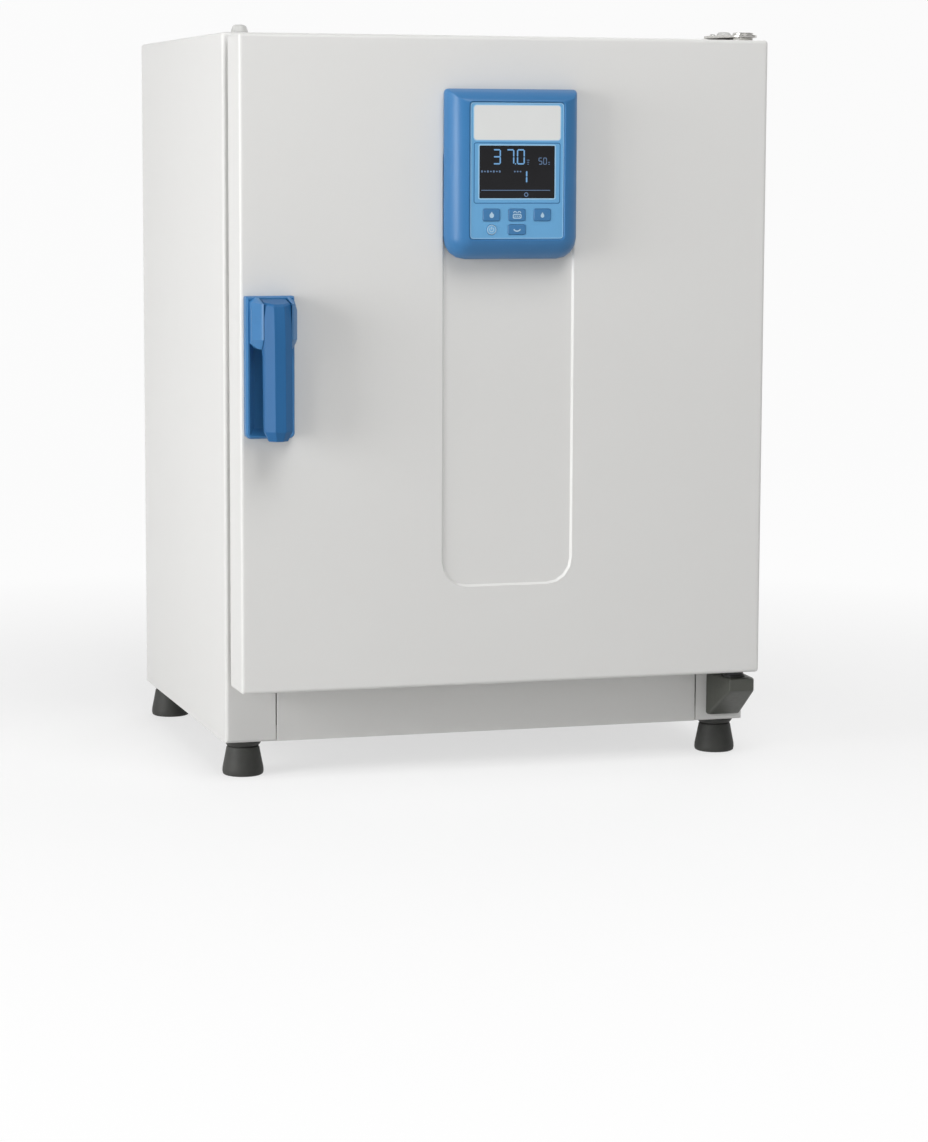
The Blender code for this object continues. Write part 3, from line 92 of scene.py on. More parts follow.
class Wire:
    """The output of a shader node, to be written in sums like a number."""

    def __init__(self, tree, socket):
        self.tree = tree
        self.socket = socket

    def sum(self, operation, *terms):
        made = self.tree.nodes.new("ShaderNodeMath")
        made.operation = operation
        for entry, term in zip(made.inputs, terms):
            if isinstance(term, Wire):
                self.tree.links.new(term.socket, entry)
            else:
                entry.default_value = term
        return Wire(self.tree, made.outputs[0])

    def __add__(self, other):
        return self.sum("ADD", self, other)

    def __radd__(self, other):
        return self.sum("ADD", other, self)

    def __sub__(self, other):
        return self.sum("SUBTRACT", self, other)

    def __rsub__(self, other):
        return self.sum("SUBTRACT", other, self)

    def __mul__(self, other):
        return self.sum("MULTIPLY", self, other)

    def __rmul__(self, other):
        return self.sum("MULTIPLY", other, self)

    def __truediv__(self, other):
        return self.sum("DIVIDE", self, other)

    def __pow__(self, other):
        return self.sum("POWER", self, other)

    def __gt__(self, other):
        return self.sum("GREATER_THAN", self, other)

    def sine(self):
        return self.sum("SINE", self)

    def most(self, other):
        return self.sum("MAXIMUM", self, other)

    def held(self):
        """The same value, kept between zero and one."""
        made = self.sum("ADD", self, 0.0)
        made.socket.node.use_clamp = True
        return made

    def contrast(self, factor):
        """A value between zero and one, spread away from its middle and held."""
        return (self * factor - (factor - 1.0) / 2).held()


sweep_paint = bpy.data.materials.new("sweep paint")
sweep_paint.use_nodes = True
sweep_tree = sweep_paint.node_tree
sweep_shader = sweep_tree.nodes["Principled BSDF"]
sweep_shader.inputs["Roughness"].default_value = 0.9
sweep_glow = sweep_tree.nodes.new("ShaderNodeEmission")
sweep_light = sweep_tree.nodes.new("ShaderNodeLightPath")
sweep_mix = sweep_tree.nodes.new("ShaderNodeMixShader")
sweep_camera, sweep_glossy, sweep_through = (
    Wire(sweep_tree, sweep_light.outputs[f"Is {ray} Ray"]) for ray in ("Camera", "Glossy", "Transmission")
)
tone_for_bounces, tone_when_seen = 0.60, 0.95
sweep_tone = tone_for_bounces + (tone_when_seen - tone_for_bounces) * sweep_camera
sweep_tree.links.new(sweep_tone.socket, sweep_shader.inputs["Base Color"])

# Near the instrument the sweep glows less, so that its shadow on the floor shows.
glow_near, glow_far = 0.64, 0.94
shade_radius, shade_fade = 0.45, 0.90
sweep_spot = sweep_tree.nodes.new("ShaderNodeSeparateXYZ")
sweep_geometry = sweep_tree.nodes.new("ShaderNodeNewGeometry")
sweep_tree.links.new(sweep_geometry.outputs["Position"], sweep_spot.inputs[0])
sweep_x, sweep_y = Wire(sweep_tree, sweep_spot.outputs["X"]), Wire(sweep_tree, sweep_spot.outputs["Y"])
sweep_away = (sweep_x**2.0 + sweep_y**2.0) ** 0.5
sweep_far = ((sweep_away - shade_radius) / shade_fade).held()
sweep_seen = sweep_camera.most(sweep_glossy).most(sweep_through)
sweep_share = sweep_seen * (glow_near + (glow_far - glow_near) * sweep_far)
sweep_tree.links.new(sweep_share.socket, sweep_mix.inputs[0])
sweep_tree.links.new(sweep_shader.outputs[0], sweep_mix.inputs[1])
sweep_tree.links.new(sweep_glow.outputs[0], sweep_mix.inputs[2])
sweep_tree.links.new(sweep_mix.outputs[0], sweep_tree.nodes["Material Output"].inputs[0])

sweep_mesh = bpy.data.meshes.new("sweep")
sweep_reach = 24.0
sweep_height = 7.0
cove_start = 2.6
cove_radius = 1.6
cove_steps = 12
sweep_line = [(-sweep_reach, 0.0), (cove_start, 0.0)]
for step in range(1, cove_steps + 1):
    turn = math.pi / 2 * step / cove_steps
    cove_y, cove_z = cove_radius * math.sin(turn), cove_radius * (1.0 - math.cos(turn))
    sweep_line.append((cove_start + cove_y, cove_z))
sweep_line.append((cove_start + cove_radius, sweep_height))
sweep_points = [(x, y, z) for y, z in sweep_line for x in (-sweep_reach, sweep_reach)]
sweep_faces = [(2 * n, 2 * n + 1, 2 * n + 3, 2 * n + 2) for n in range(len(sweep_line) - 1)]
sweep_mesh.from_pydata(sweep_points, [], sweep_faces)
for face in sweep_mesh.polygons:
    face.use_smooth = True
sweep_mesh.materials.append(sweep_paint)
sweep = bpy.data.objects.new("sweep", sweep_mesh)
scene.collection.objects.link(sweep)

sky = bpy.data.worlds.new("room light")
sky.use_nodes = True
scene.world = sky
sky_tree = sky.node_tree
sky_back = sky_tree.nodes["Background"]
sky_seen = sky_tree.nodes.new("ShaderNodeLightPath")
sky_ray = Wire(sky_tree, sky_seen.outputs["Is Camera Ray"]).most(
    Wire(sky_tree, sky_seen.outputs["Is Transmission Ray"])
)
sky_light, sky_when_seen = 0.33, 1.0
sky_strength = sky_light + (sky_when_seen - sky_light) * sky_ray
sky_tree.links.new(sky_strength.socket, sky_back.inputs["Strength"])
sky_back.inputs["Color"].default_value = (1.0, 1.0, 1.0, 1.0)

lamp_aim = Vector((0.0, 0.0, 0.35))
for lamp_name, lamp_from, lamp_power, lamp_side in (
    ("soft_box_left", (-2.5, -0.9, 0.62), 43.0, 1.3),
    ("soft_box_above", (0.1, -1.6, 2.3), 29.0, 1.3),
    ("soft_box_rear", (1.6, 2.2, 2.6), 14.0, 1.4),
):
    lamp = bpy.data.lights.new(lamp_name, "AREA")
    lamp.shape = "SQUARE"
    lamp.size = lamp_side
    lamp.energy = lamp_power
    lamp_object = bpy.data.objects.new(lamp_name, lamp)
    lamp_object.location = lamp_from
    lamp_object.rotation_euler = (lamp_aim - Vector(lamp_from)).to_track_quat("-Z", "Y").to_euler()
    scene.collection.objects.link(lamp_object)

# The cabinet's wrap and the fascia between its front posts are folded steel sheet under a warm light grey
# powder coat, baked to a fine orange peel. Their folded edges keep a small press radius.


class Finish:
    """A material of one Principled shader, and the nodes that vary it over the surface."""

    def __init__(self, name, colour, roughness, metallic=0.0, **fixed):
        self.material = bpy.data.materials.new(name)
        self.material.use_nodes = True
        self.tree = self.material.node_tree
        self.shader = self.tree.nodes["Principled BSDF"]
        self.set(Base_Color=(*colour, 1.0), Roughness=roughness, Metallic=metallic)
        self.place = self.node("TexCoord", output="Object")
        self.set(**fixed)

    def put(self, entry, value):
        if isinstance(value, Wire):
            self.tree.links.new(value.socket, entry)
        else:
            entry.default_value = value

    def set(self, **sockets):
        for name, value in sockets.items():
            self.put(self.shader.inputs[name.replace("_", " ")], value)

    def node(self, kind, settings=None, sockets=None, output=0):
        made = self.tree.nodes.new("ShaderNode" + kind)
        for name, value in (settings or {}).items():
            setattr(made, name, value)
        for name, value in (sockets or {}).items():
            self.put(made.inputs[name], value)
        return Wire(self.tree, made.outputs[output])

    def noise(self, scale, detail=3.0, stretch=(1.0, 1.0, 1.0), roughness=0.5):
        place = self.node("Mapping", {}, {"Vector": self.place, "Scale": stretch})
        sizes = {"Vector": place, "Scale": scale, "Detail": detail, "Roughness": roughness}
        return self.node("TexNoise", {}, sizes, "Fac")

    def cells(self, scale):
        return self.node("TexVoronoi", {}, {"Vector": self.place, "Scale": scale}, "Color")

    def axis(self, letter):
        return self.node("SeparateXYZ", {}, {"Vector": self.place}, letter)

    def blend(self, amount, first, second):
        """Goes from the first colour to the second as the amount goes from zero to one."""
        made = self.tree.nodes.new("ShaderNodeMix")
        made.data_type = "RGBA"
        # A Mix node has a set of sockets for every kind of value, and these are the ones for colours.
        factor, first_colour, second_colour = (made.inputs[index] for index in (0, 6, 7))
        self.put(factor, amount)
        self.put(first_colour, (*first, 1.0))
        self.put(second_colour, (*second, 1.0))
        return Wire(self.tree, made.outputs[2])

    def relief(self, height, depth):
        made = self.node("Bump", {}, {"Height": height, "Distance": depth, "Strength": 1.0})
        self.set(Normal=made)


def powder_coat(name, colour, roughness=0.42, peel=0.00003):
    """Powder coat: fine orange peel, a slightly uneven gloss and a breath of unevenness in the tone."""
    coat = Finish(name, colour, roughness, Specular_IOR_Level=0.45)
    drift = coat.noise(2.2, 2.0)
    shade = tuple(channel * 0.965 for channel in colour)
    coat.set(Base_Color=coat.blend(drift.contrast(1.6), shade, colour))
    bumps = coat.noise(520.0, 2.0)
    coat.set(Roughness=coat.noise(9.0, 3.0) * 0.10 + (roughness - 0.05))
    coat.relief(bumps, peel)
    return coat.material


def dress(node, name, material, edge=0.0006, crease=32.0, steps=2, flat=None, soft=False):
    """The solid's own shape as one welded skin with rounded edges and smooth curves, in its place.

    The edge is the radius in metres, and an edge sharper than the crease in degrees gets one. Around
    a face larger than flat the shading stays sharp, and a soft piece is shaded as one smooth form.
    """
    mesh = nodes[node].data.copy()
    mesh.name = name
    shell = bmesh.new()
    shell.from_mesh(mesh)
    weld_distance, flat_angle = 0.00002, math.radians(0.4)
    bmesh.ops.remove_doubles(shell, verts=shell.verts, dist=weld_distance)
    bmesh.ops.dissolve_limit(
        shell,
        angle_limit=flat_angle,
        use_dissolve_boundaries=False,
        verts=shell.verts,
        edges=shell.edges,
    )
    many_sided = [face for face in shell.faces if len(face.verts) > 4]
    bmesh.ops.triangulate(shell, faces=many_sided, ngon_method="BEAUTY")
    for layer in list(shell.loops.layers.uv):
        shell.loops.layers.uv.remove(layer)
    shell.to_mesh(mesh)
    shell.free()
    made = bpy.data.objects.new(name + "_rough", mesh)
    scene.collection.objects.link(made)
    if edge:
        round_off = made.modifiers.new("edge", "BEVEL")
        round_off.width = edge
        round_off.segments = steps
        round_off.limit_method = "ANGLE"
        round_off.angle_limit = math.radians(crease)
        round_off.miter_outer = "MITER_ARC"
    bpy.context.view_layer.update()
    settled = made.evaluated_get(bpy.context.evaluated_depsgraph_get())
    skin = bpy.data.meshes.new_from_object(settled)
    skin.name = name
    bpy.data.objects.remove(made)
    for face in skin.polygons:
        face.use_smooth = True
    skin.set_sharp_from_angle(angle=math.radians(crease))
    if flat:
        borders = {key for face in skin.polygons if face.area > flat for key in face.edge_keys}
        for side in skin.edges:
            side.use_edge_sharp = side.use_edge_sharp or side.key in borders
    skin.materials.clear()
    skin.materials.append(material)
    piece = bpy.data.objects.new(name, skin)
    scene.collection.objects.link(piece)
    if not soft:
        weigh = piece.modifiers.new("normals", "WEIGHTED_NORMAL")
        weigh.keep_sharp = True
    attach(piece, nodes[node]["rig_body"])
    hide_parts(node)


warm_grey_coat = powder_coat("warm grey coat", (0.778, 0.774, 0.758))
dress("outer_housing", "cabinet_wrap", warm_grey_coat, edge=0.0012, flat=0.004)
dress("lower_fascia", "front_fascia", warm_grey_coat, edge=0.0004)


# The back is a flat zinc-coated sheet under the same coat, with one row of air slots, and it is held
# to the wrap's flanges by a ring of pan-head screws. The tray that carries the base is coated too.


class Recipe:
    """A geometry node tree for parts that repeat, with its sizes as named inputs."""

    def __init__(self, name):
        self.tree = bpy.data.node_groups.new(name, "GeometryNodeTree")
        self.socket("Geometry", "Geometry")
        self.tree.interface.new_socket("Geometry", in_out="OUTPUT", socket_type="NodeSocketGeometry")
        self.start = self.tree.nodes.new("NodeGroupInput")
        self.end = self.tree.nodes.new("NodeGroupOutput")

    def socket(self, name, kind):
        self.tree.interface.new_socket(name, in_out="INPUT", socket_type="NodeSocket" + kind)

    def entry(self, name, kind=None):
        if kind:
            self.socket(name, kind)
        return Wire(self.tree, self.start.outputs[name])

    def node(self, kind, settings=None, sockets=None, output=0):
        made = self.tree.nodes.new(kind)
        for name, value in (settings or {}).items():
            setattr(made, name, value)
        for name, value in (sockets or {}).items():
            entry = made.inputs[name]
            if isinstance(value, Wire):
                self.tree.links.new(value.socket, entry)
            else:
                entry.default_value = value
        return Wire(self.tree, made.outputs[output])

    def close(self, geometry):
        self.tree.links.new(geometry.socket, self.end.inputs[0])

    def make(self, name, mesh, body, values, crease=35.0):
        """Runs the tree on a mesh and keeps the result as one plain mesh that rides on a body."""
        rough = bpy.data.objects.new(name + "_rough", mesh)
        scene.collection.objects.link(rough)
        modifier = rough.modifiers.new("recipe", "NODES")
        modifier.node_group = self.tree
        for item in self.tree.interface.items_tree:
            if item.in_out == "INPUT" and item.name in values:
                modifier[item.identifier] = values[item.name]
        bpy.context.view_layer.update()
        settled = rough.evaluated_get(bpy.context.evaluated_depsgraph_get())
        result = bpy.data.meshes.new_from_object(settled)
        result.name = name
        for layer in [a.name for a in result.attributes if a.name in ("out", "size", "turn", "UVMap")]:
            result.attributes.remove(result.attributes[layer])
        for face in result.polygons:
            face.use_smooth = True
        result.set_sharp_from_angle(angle=math.radians(crease))
        bpy.data.objects.remove(rough)
        piece = bpy.data.objects.new(name, result)
        scene.collection.objects.link(piece)
        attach(piece, body)
        return piece


fastener_recipe = Recipe("fasteners")
fastener_head = fastener_recipe.entry("Head", "Object")
fastener_scale = fastener_recipe.entry("Head scale", "Float")
fastener_seed = fastener_recipe.entry("Seed", "Int")
fastener_metal = fastener_recipe.entry("Metal", "Material")
fastener_out = fastener_recipe.node(
    "GeometryNodeInputNamedAttribute", {"data_type": "FLOAT_VECTOR"}, {"Name": "out"}
)
fastener_spin = fastener_recipe.node(
    "FunctionNodeRandomValue",
    {"data_type": "FLOAT"},
    {"Min": 0.0, "Max": math.tau, "Seed": fastener_seed},
    1,
)
fastener_turn = fastener_recipe.node(
    "FunctionNodeAxisAngleToRotation", {}, {"Axis": (0.0, 0.0, 1.0), "Angle": fastener_spin}
)
fastener_aim = fastener_recipe.node(
    "FunctionNodeAlignRotationToVector", {"axis": "Z"}, {"Vector": fastener_out}
)
fastener_pose = fastener_recipe.node(
    "FunctionNodeRotateRotation",
    {"rotation_space": "LOCAL"},
    {"Rotation": fastener_aim, "Rotate By": fastener_turn},
)
fastener_shape = fastener_recipe.node("GeometryNodeObjectInfo", {}, {"Object": fastener_head}, "Geometry")
fastener_places = fastener_recipe.entry("Geometry")
fastener_points = fastener_recipe.node("GeometryNodeMeshToPoints", {}, {"Mesh": fastener_places})
fastener_set = fastener_recipe.node(
    "GeometryNodeInstanceOnPoints",
    {},
    {
        "Points": fastener_points,
        "Instance": fastener_shape,
        "Rotation": fastener_pose,
        "Scale": fastener_scale,
    },
)
fastener_solid = fastener_recipe.node("GeometryNodeRealizeInstances", {}, {"Geometry": fastener_set})
fastener_finished = fastener_recipe.node(
    "GeometryNodeSetMaterial", {}, {"Geometry": fastener_solid, "Material": fastener_metal}
)
fastener_recipe.close(fastener_finished)


def screw_head(name, profile, drive_depth, drive="cross"):
    """A screw's head of radius one: a turned dome, with a cross or hexagon recess sunk in its middle."""
    sides = 24
    hex_radius = 0.50
    cross_radius, cross_half_width = 0.56, 0.17
    arm_half_angle = 0.27
    floor_share = 0.82

    def recess(turn):
        """How far the recess reaches from the screw's axis in a direction."""
        if drive == "hex":
            from_middle = (turn + math.pi / 6) % (math.pi / 3) - math.pi / 6
            return hex_radius * math.cos(math.pi / 6) / math.cos(from_middle)
        from_arm = abs((turn + math.pi / 4) % (math.pi / 2) - math.pi / 4)
        return cross_radius if from_arm < arm_half_angle else cross_half_width / math.sin(from_arm)

    mesh = bpy.data.meshes.new(name)
    shell = bmesh.new()
    rings = []
    turns = [math.tau * n / sides for n in range(sides)]
    for radius, height in profile:
        rings.append([shell.verts.new((radius * math.cos(t), radius * math.sin(t), height)) for t in turns])
    top = profile[-1][1]
    for share, height in ((1.0, top), (floor_share, top - drive_depth)):
        reaches = [(t, share * recess(t)) for t in turns]
        rings.append([shell.verts.new((r * math.cos(t), r * math.sin(t), height)) for t, r in reaches])
    for low, high in zip(rings, rings[1:]):
        for n in range(sides):
            shell.faces.new((low[n], low[(n + 1) % sides], high[(n + 1) % sides], high[n]))
    shell.faces.new(rings[-1])
    shell.faces.new(list(reversed(rings[0])))
    shell.to_mesh(mesh)
    shell.free()
    head = bpy.data.objects.new(name, mesh)
    scene.collection.objects.link(head)
    return head


def fasten(name, head, places, body, metal, radius, seed):
    """One screw at each place, standing along its own outward direction, with a head of the radius."""
    mesh = bpy.data.meshes.new(name + "_places")
    mesh.from_pydata([tuple(place) for place, out in places], [], [])
    away = mesh.attributes.new("out", "FLOAT_VECTOR", "POINT")
    away.data.foreach_set("vector", [part for place, out in places for part in out])
    values = {"Head": head, "Head scale": radius, "Seed": seed, "Metal": metal}
    screws = fastener_recipe.make(name, mesh, body, values)


pan_profile = [(0.94, -0.25), (1.0, 0.0), (1.0, 0.22), (0.93, 0.44), (0.78, 0.58), (0.62, 0.64)]
pan_head = screw_head("pan_head", pan_profile, 0.34)
flush_profile = [(0.90, -0.25), (1.0, 0.0), (1.0, 0.03), (0.97, 0.06), (0.80, 0.07), (0.64, 0.08)]
flush_head = screw_head("flush_head", flush_profile, 0.30)
cap_profile = [(0.96, -0.2), (1.0, 0.0), (1.0, 0.86), (0.95, 0.97), (0.88, 1.0), (0.66, 1.0)]
cap_head = screw_head("cap_head", cap_profile, 0.55, "hex")

zinc = Finish("zinc plate", (0.62, 0.62, 0.60), 0.32, 1.0)
zinc_cloud = zinc.noise(180.0, 3.0).contrast(1.8)
zinc.set(Base_Color=zinc.blend(zinc_cloud, (0.66, 0.66, 0.63), (0.52, 0.52, 0.51)))
zinc.set(Roughness=zinc.noise(320.0, 2.0) * 0.20 + 0.24)

dress("rear_panel", "rear_cover", warm_grey_coat, edge=0.0003)
dress("base_tray", "base_pan", warm_grey_coat, edge=0.0003)

rear_low, rear_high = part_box("rear_panel")
screw_from_side, screw_from_end = 0.010, 0.009
screw_left, screw_right = rear_low.x + screw_from_side, rear_high.x - screw_from_side
screw_bottom, screw_top = rear_low.z + screw_from_end, rear_high.z - screw_from_end
rear_ring = []
for share in (0.0, 0.25, 0.5, 0.75, 1.0):
    for row_z in (screw_bottom, screw_top):
        rear_ring.append((screw_left + share * (screw_right - screw_left), row_z))
for share in (0.2, 0.4, 0.6, 0.8):
    for column_x in (screw_left, screw_right):
        rear_ring.append((column_x, screw_bottom + share * (screw_top - screw_bottom)))
rear_places = [((x, rear_high.y, z), (0.0, 1.0, 0.0)) for x, z in rear_ring]
fasten("rear_screws", pan_head, rear_places, "cabinet", zinc.material, radius=0.0032, seed=3)


# The frame round the chamber's mouth is bent stainless sheet with a fine brushed grain, and closes the gap
# between the wrap and the chamber. The deck under the chamber is folded zinc-coated sheet that shows its
# spangle, and is the roof of the compartment with the electrics.


def brushed(name, colour, roughness, grain):
    """Rolled sheet metal: fine lines along one axis that break the gloss and catch the light."""
    sheet = Finish(name, colour, roughness, 1.0)
    line_depth = 0.000012
    lines = sheet.noise(14.0, 4.0, grain, 0.65)
    broad = sheet.noise(5.0, 2.0)
    dark = tuple(channel * 0.82 for channel in colour)
    sheet.set(Base_Color=sheet.blend(lines.contrast(1.4), dark, colour))
    sheet.set(Roughness=lines * 0.22 + broad * 0.08 + (roughness - 0.14))
    sheet.relief(lines, line_depth)
    return sheet.material


brushed_across = brushed("stainless brushed across", (0.68, 0.68, 0.67), 0.30, (2.0, 60.0, 60.0))
brushed_up = brushed("stainless brushed upright", (0.68, 0.68, 0.67), 0.32, (60.0, 60.0, 2.0))
dress("chamber_frame", "mouth_frame", brushed_across, edge=0.0004)

spangle = Finish("galvanised sheet", (0.58, 0.59, 0.60), 0.42, 0.9)
spangle_grey = spangle.node("RGBToBW", {}, {"Color": spangle.cells(95.0)})
spangle.set(Base_Color=spangle.blend(spangle_grey, (0.50, 0.51, 0.53), (0.64, 0.65, 0.66)))
spangle.set(Roughness=spangle_grey * 0.22 + 0.30)
dress("compartment_deck", "deck_channel", spangle.material, edge=0.0004)

# The chamber is a welded box of thin stainless sheet with round inner corners. A foil-backed heating
# mat is wrapped round it, and boards of mineral fibre fill the space out to the wrap.
dress("chamber_liner", "chamber_box", brushed_across, edge=0.0002, crease=50.0)

foil = Finish("heater foil", (0.72, 0.70, 0.66), 0.30, 0.95)
foil_crinkle = foil.noise(42.0, 5.0, roughness=0.65)
foil.set(Roughness=foil_crinkle * 0.25 + 0.18)
foil_wire = (foil.axis("Y") * 900.0).sine() > 0.86
foil.set(Base_Color=foil.blend(foil_wire, (0.74, 0.73, 0.70), (0.46, 0.34, 0.22)))
foil.relief(foil_crinkle, 0.0004)
dress("heater_wrap", "heating_mat", foil.material, edge=0.0)

fibre = Finish("mineral fibre", (0.74, 0.69, 0.50), 0.95)
fibre_mat = fibre.noise(60.0, 8.0, (1.0, 5.0, 1.0), 0.7)
fibre_clump = fibre.noise(14.0, 3.0)
fibre.set(Base_Color=fibre.blend(fibre_mat.contrast(1.6), (0.60, 0.53, 0.34), (0.82, 0.78, 0.60)))
fibre.relief(fibre_mat + fibre_clump * 0.6, 0.0012)
dress("insulation_jacket", "fibre_jacket", fibre.material, edge=0.002)

# Two upright racks are held to the chamber's sides by cap screws. Each has two ledges bent out of the
# sheet. Two slotted shelves rest on them, with a folded front edge and a stop turned up at the back.
dress("shelf_rack_left", "left_rack", brushed_up, edge=0.0002)
dress("shelf_rack_right", "right_rack", brushed_up, edge=0.0002)
dress("shelf_lower", "lower_shelf", brushed_across, edge=0.0003, flat=0.00005)
dress("shelf_upper", "upper_shelf", brushed_across, edge=0.0003, flat=0.00005)
rack_sheet = 0.0012
stud_from_side, stud_from_end = 0.020, 0.055
rack_places = []
for rack_name, inward in (("shelf_rack_left", 1.0), ("shelf_rack_right", -1.0)):
    rack_low, rack_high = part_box(rack_name)
    web_x = rack_low.x + rack_sheet if inward > 0 else rack_high.x - rack_sheet
    for rack_y in (rack_low.y + stud_from_side, rack_high.y - stud_from_side):
        for rack_z in (rack_low.z + stud_from_end, rack_high.z - stud_from_end):
            rack_places.append(((web_x, rack_y, rack_z), (inward, 0.0, 0.0)))
fasten("rack_studs", cap_head, rack_places, "cabinet", brushed_up, radius=0.0036, seed=5)

# The temperature probe is a thin closed steel tube through a gland in the chamber's back. The vent is a
# moulded sleeve that passes through both rear walls and bears on the back cover with its flange.
probe_steel = brushed("probe steel", (0.70, 0.70, 0.69), 0.24, (40.0, 4.0, 40.0))
dress("temperature_probe", "probe_tube", probe_steel, edge=0.0003, crease=40.0)


def moulding(name, colour, roughness, spark=0.000035, scale=900.0, **fixed):
    """Injection-moulded plastic with the fine matt grain of a spark-eroded tool."""
    plastic = Finish(name, colour, roughness, **fixed)
    grain = plastic.noise(scale, 2.0)
    drift = plastic.noise(12.0, 2.0)
    shade = tuple(channel * 0.93 for channel in colour)
    plastic.set(Base_Color=plastic.blend(drift.contrast(1.5), shade, colour))
    plastic.set(Roughness=grain * 0.12 + drift * 0.06 + (roughness - 0.09))
    plastic.relief(grain, spark)
    return plastic


black_moulding = moulding("black moulding", (0.030, 0.031, 0.030), 0.52).material
dress("vent_tube", "vent_sleeve", black_moulding, edge=0.0006, crease=40.0)

# Two moulded spacers keep the back off the wall. Each has a wide collar that bears on the back cover.
for side in ("left", "right"):
    dress(
        "wall_spacer_" + side, side + "_wall_spacer", black_moulding,
        edge=0.0006, crease=40.0,
    )

# The mains inlet is a snap-in appliance socket of black thermoplastic with three tinned blades, held
# by two small screws. No lead is plugged in.
dress("power_inlet", "mains_inlet", black_moulding, edge=0.0004)
inlet_low, inlet_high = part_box("power_inlet")
inlet_z = (inlet_low.z + inlet_high.z) / 2
inlet_screw_inset = 0.0048
inlet_columns = (inlet_low.x + inlet_screw_inset, inlet_high.x - inlet_screw_inset)
inlet_places = [((x, inlet_high.y, inlet_z), (0.0, 1.0, 0.0)) for x in inlet_columns]
fasten("inlet_screws", flush_head, inlet_places, "cabinet", zinc.material, radius=0.0026, seed=6)

# Each foot is a rubber cone moulded on to a steel stud that screws into the base pan, with a narrow
# collar at the top to turn it by. The stacking studs above are plain grey domes pressed into the roof.
rubber = Finish("foot rubber", (0.040, 0.041, 0.038), 0.62, Specular_IOR_Level=0.42)
rubber_bloom = rubber.noise(38.0, 4.0)
rubber_patches = (rubber_bloom * 2.0 - 0.6).held()
rubber.set(Base_Color=rubber.blend(rubber_patches, (0.034, 0.035, 0.032), (0.058, 0.059, 0.054)))
rubber.set(Roughness=rubber.noise(700.0, 2.0) * 0.16 + 0.52)
rubber.relief(rubber.noise(1500.0, 2.0), 0.00003)
stud_grey = moulding("stud grey", (0.62, 0.62, 0.605), 0.42)
for corner in ("front_left", "front_right", "rear_left", "rear_right"):
    dress("foot_" + corner, corner + "_foot", rubber.material, edge=0.0005, crease=28.0)
for corner in ("front_left", "front_right"):
    dress(
        "stacking_stud_" + corner, corner + "_stud", stud_grey.material,
        edge=0.0004, crease=45.0,
    )

# The outer door is a drawn steel pan with a shallow pressed panel under the control unit. Its back is a
# second pan under the same coat, with a dish in the middle, and fibre board fills the space between.
dress("door_skin", "door_front", warm_grey_coat, edge=0.0006, crease=12.0, flat=0.002)
dress("door_liner", "door_back", warm_grey_coat, edge=0.0008, crease=24.0)
dress("door_insulation", "door_fibre", fibre.material, edge=0.001)

# The gasket is an extruded silicone bulb, mitred and welded at its corners, pressed into the liner.
# Its grey, and that of the seal round the glass, is darker than the silicone itself: painted shade for the
# narrow gap between the door and the wrap.
seal_grey_darkened_as_gap_shade = Finish("grey silicone darkened as gap shade", (0.20, 0.20, 0.20), 0.55, Specular_IOR_Level=0.35)
seal_dust = seal_grey_darkened_as_gap_shade.noise(90.0, 4.0)
seal_grey_darkened_as_gap_shade.set(Base_Color=seal_grey_darkened_as_gap_shade.blend(seal_dust.contrast(1.6), (0.15, 0.15, 0.15), (0.22, 0.22, 0.22)))
seal_grey_darkened_as_gap_shade.set(Roughness=seal_dust * 0.2 + 0.45)
dress("door_gasket", "gasket_bulb", seal_grey_darkened_as_gap_shade.material, edge=0.0022, crease=30.0, steps=3)
dress("glass_seal", "glass_edge_seal", seal_grey_darkened_as_gap_shade.material, edge=0.0003)

# The door hangs on two pins. The upper one is plated steel in an acetal bush, riveted to a plate that two
# screws hold on the roof. The lower one and its bush are black mouldings on a painted steel bracket.
bright_plate = Finish("bright nickel", (0.66, 0.65, 0.62), 0.22, 1.0)
plate_wear = bright_plate.noise(60.0, 4.0)
bright_plate.set(Roughness=plate_wear * 0.22 + 0.14)
plate_tone = bright_plate.blend(plate_wear.contrast(1.5), (0.55, 0.54, 0.52), (0.72, 0.71, 0.68))
bright_plate.set(Base_Color=plate_tone)
olive_paint = Finish("dark hammer paint", (0.070, 0.073, 0.062), 0.46, Specular_IOR_Level=0.5)
olive_drift = olive_paint.noise(24.0, 3.0)
olive_paint.set(Base_Color=olive_paint.blend(olive_drift, (0.060, 0.063, 0.053), (0.082, 0.085, 0.073)))
olive_paint.set(Roughness=olive_paint.noise(240.0, 2.0) * 0.18 + 0.36)
olive_paint.relief(olive_paint.noise(650.0, 2.0), 0.00005)
acetal = moulding("natural acetal", (0.82, 0.81, 0.77), 0.38)
dress("hinge_plate_upper", "upper_hinge_plate", bright_plate.material, edge=0.0003)
arm_low, arm_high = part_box("hinge_plate_upper")
arm_screw_y = arm_high.y - 0.0050
arm_columns = (arm_low.x + 0.0070, arm_low.x + 0.0210)
arm_places = [((x, arm_screw_y, arm_high.z), (0.0, 0.0, 1.0)) for x in arm_columns]
fasten("hinge_screws", pan_head, arm_places, "cabinet", zinc.material, radius=0.0028, seed=7)
dress(
    "hinge_pin_upper", "upper_hinge_pin", bright_plate.material,
    edge=0.0004, crease=40.0,
)
dress("hinge_bush_upper", "upper_bush", acetal.material, edge=0.0003, crease=40.0)
dress("hinge_bush_lower", "lower_bush", black_moulding, edge=0.0003, crease=40.0)
dress("hinge_bracket_lower", "lower_hinge_bracket", olive_paint.material, edge=0.0008)
dress("hinge_pin_lower", "lower_hinge_pin", black_moulding, edge=0.0004, crease=40.0)
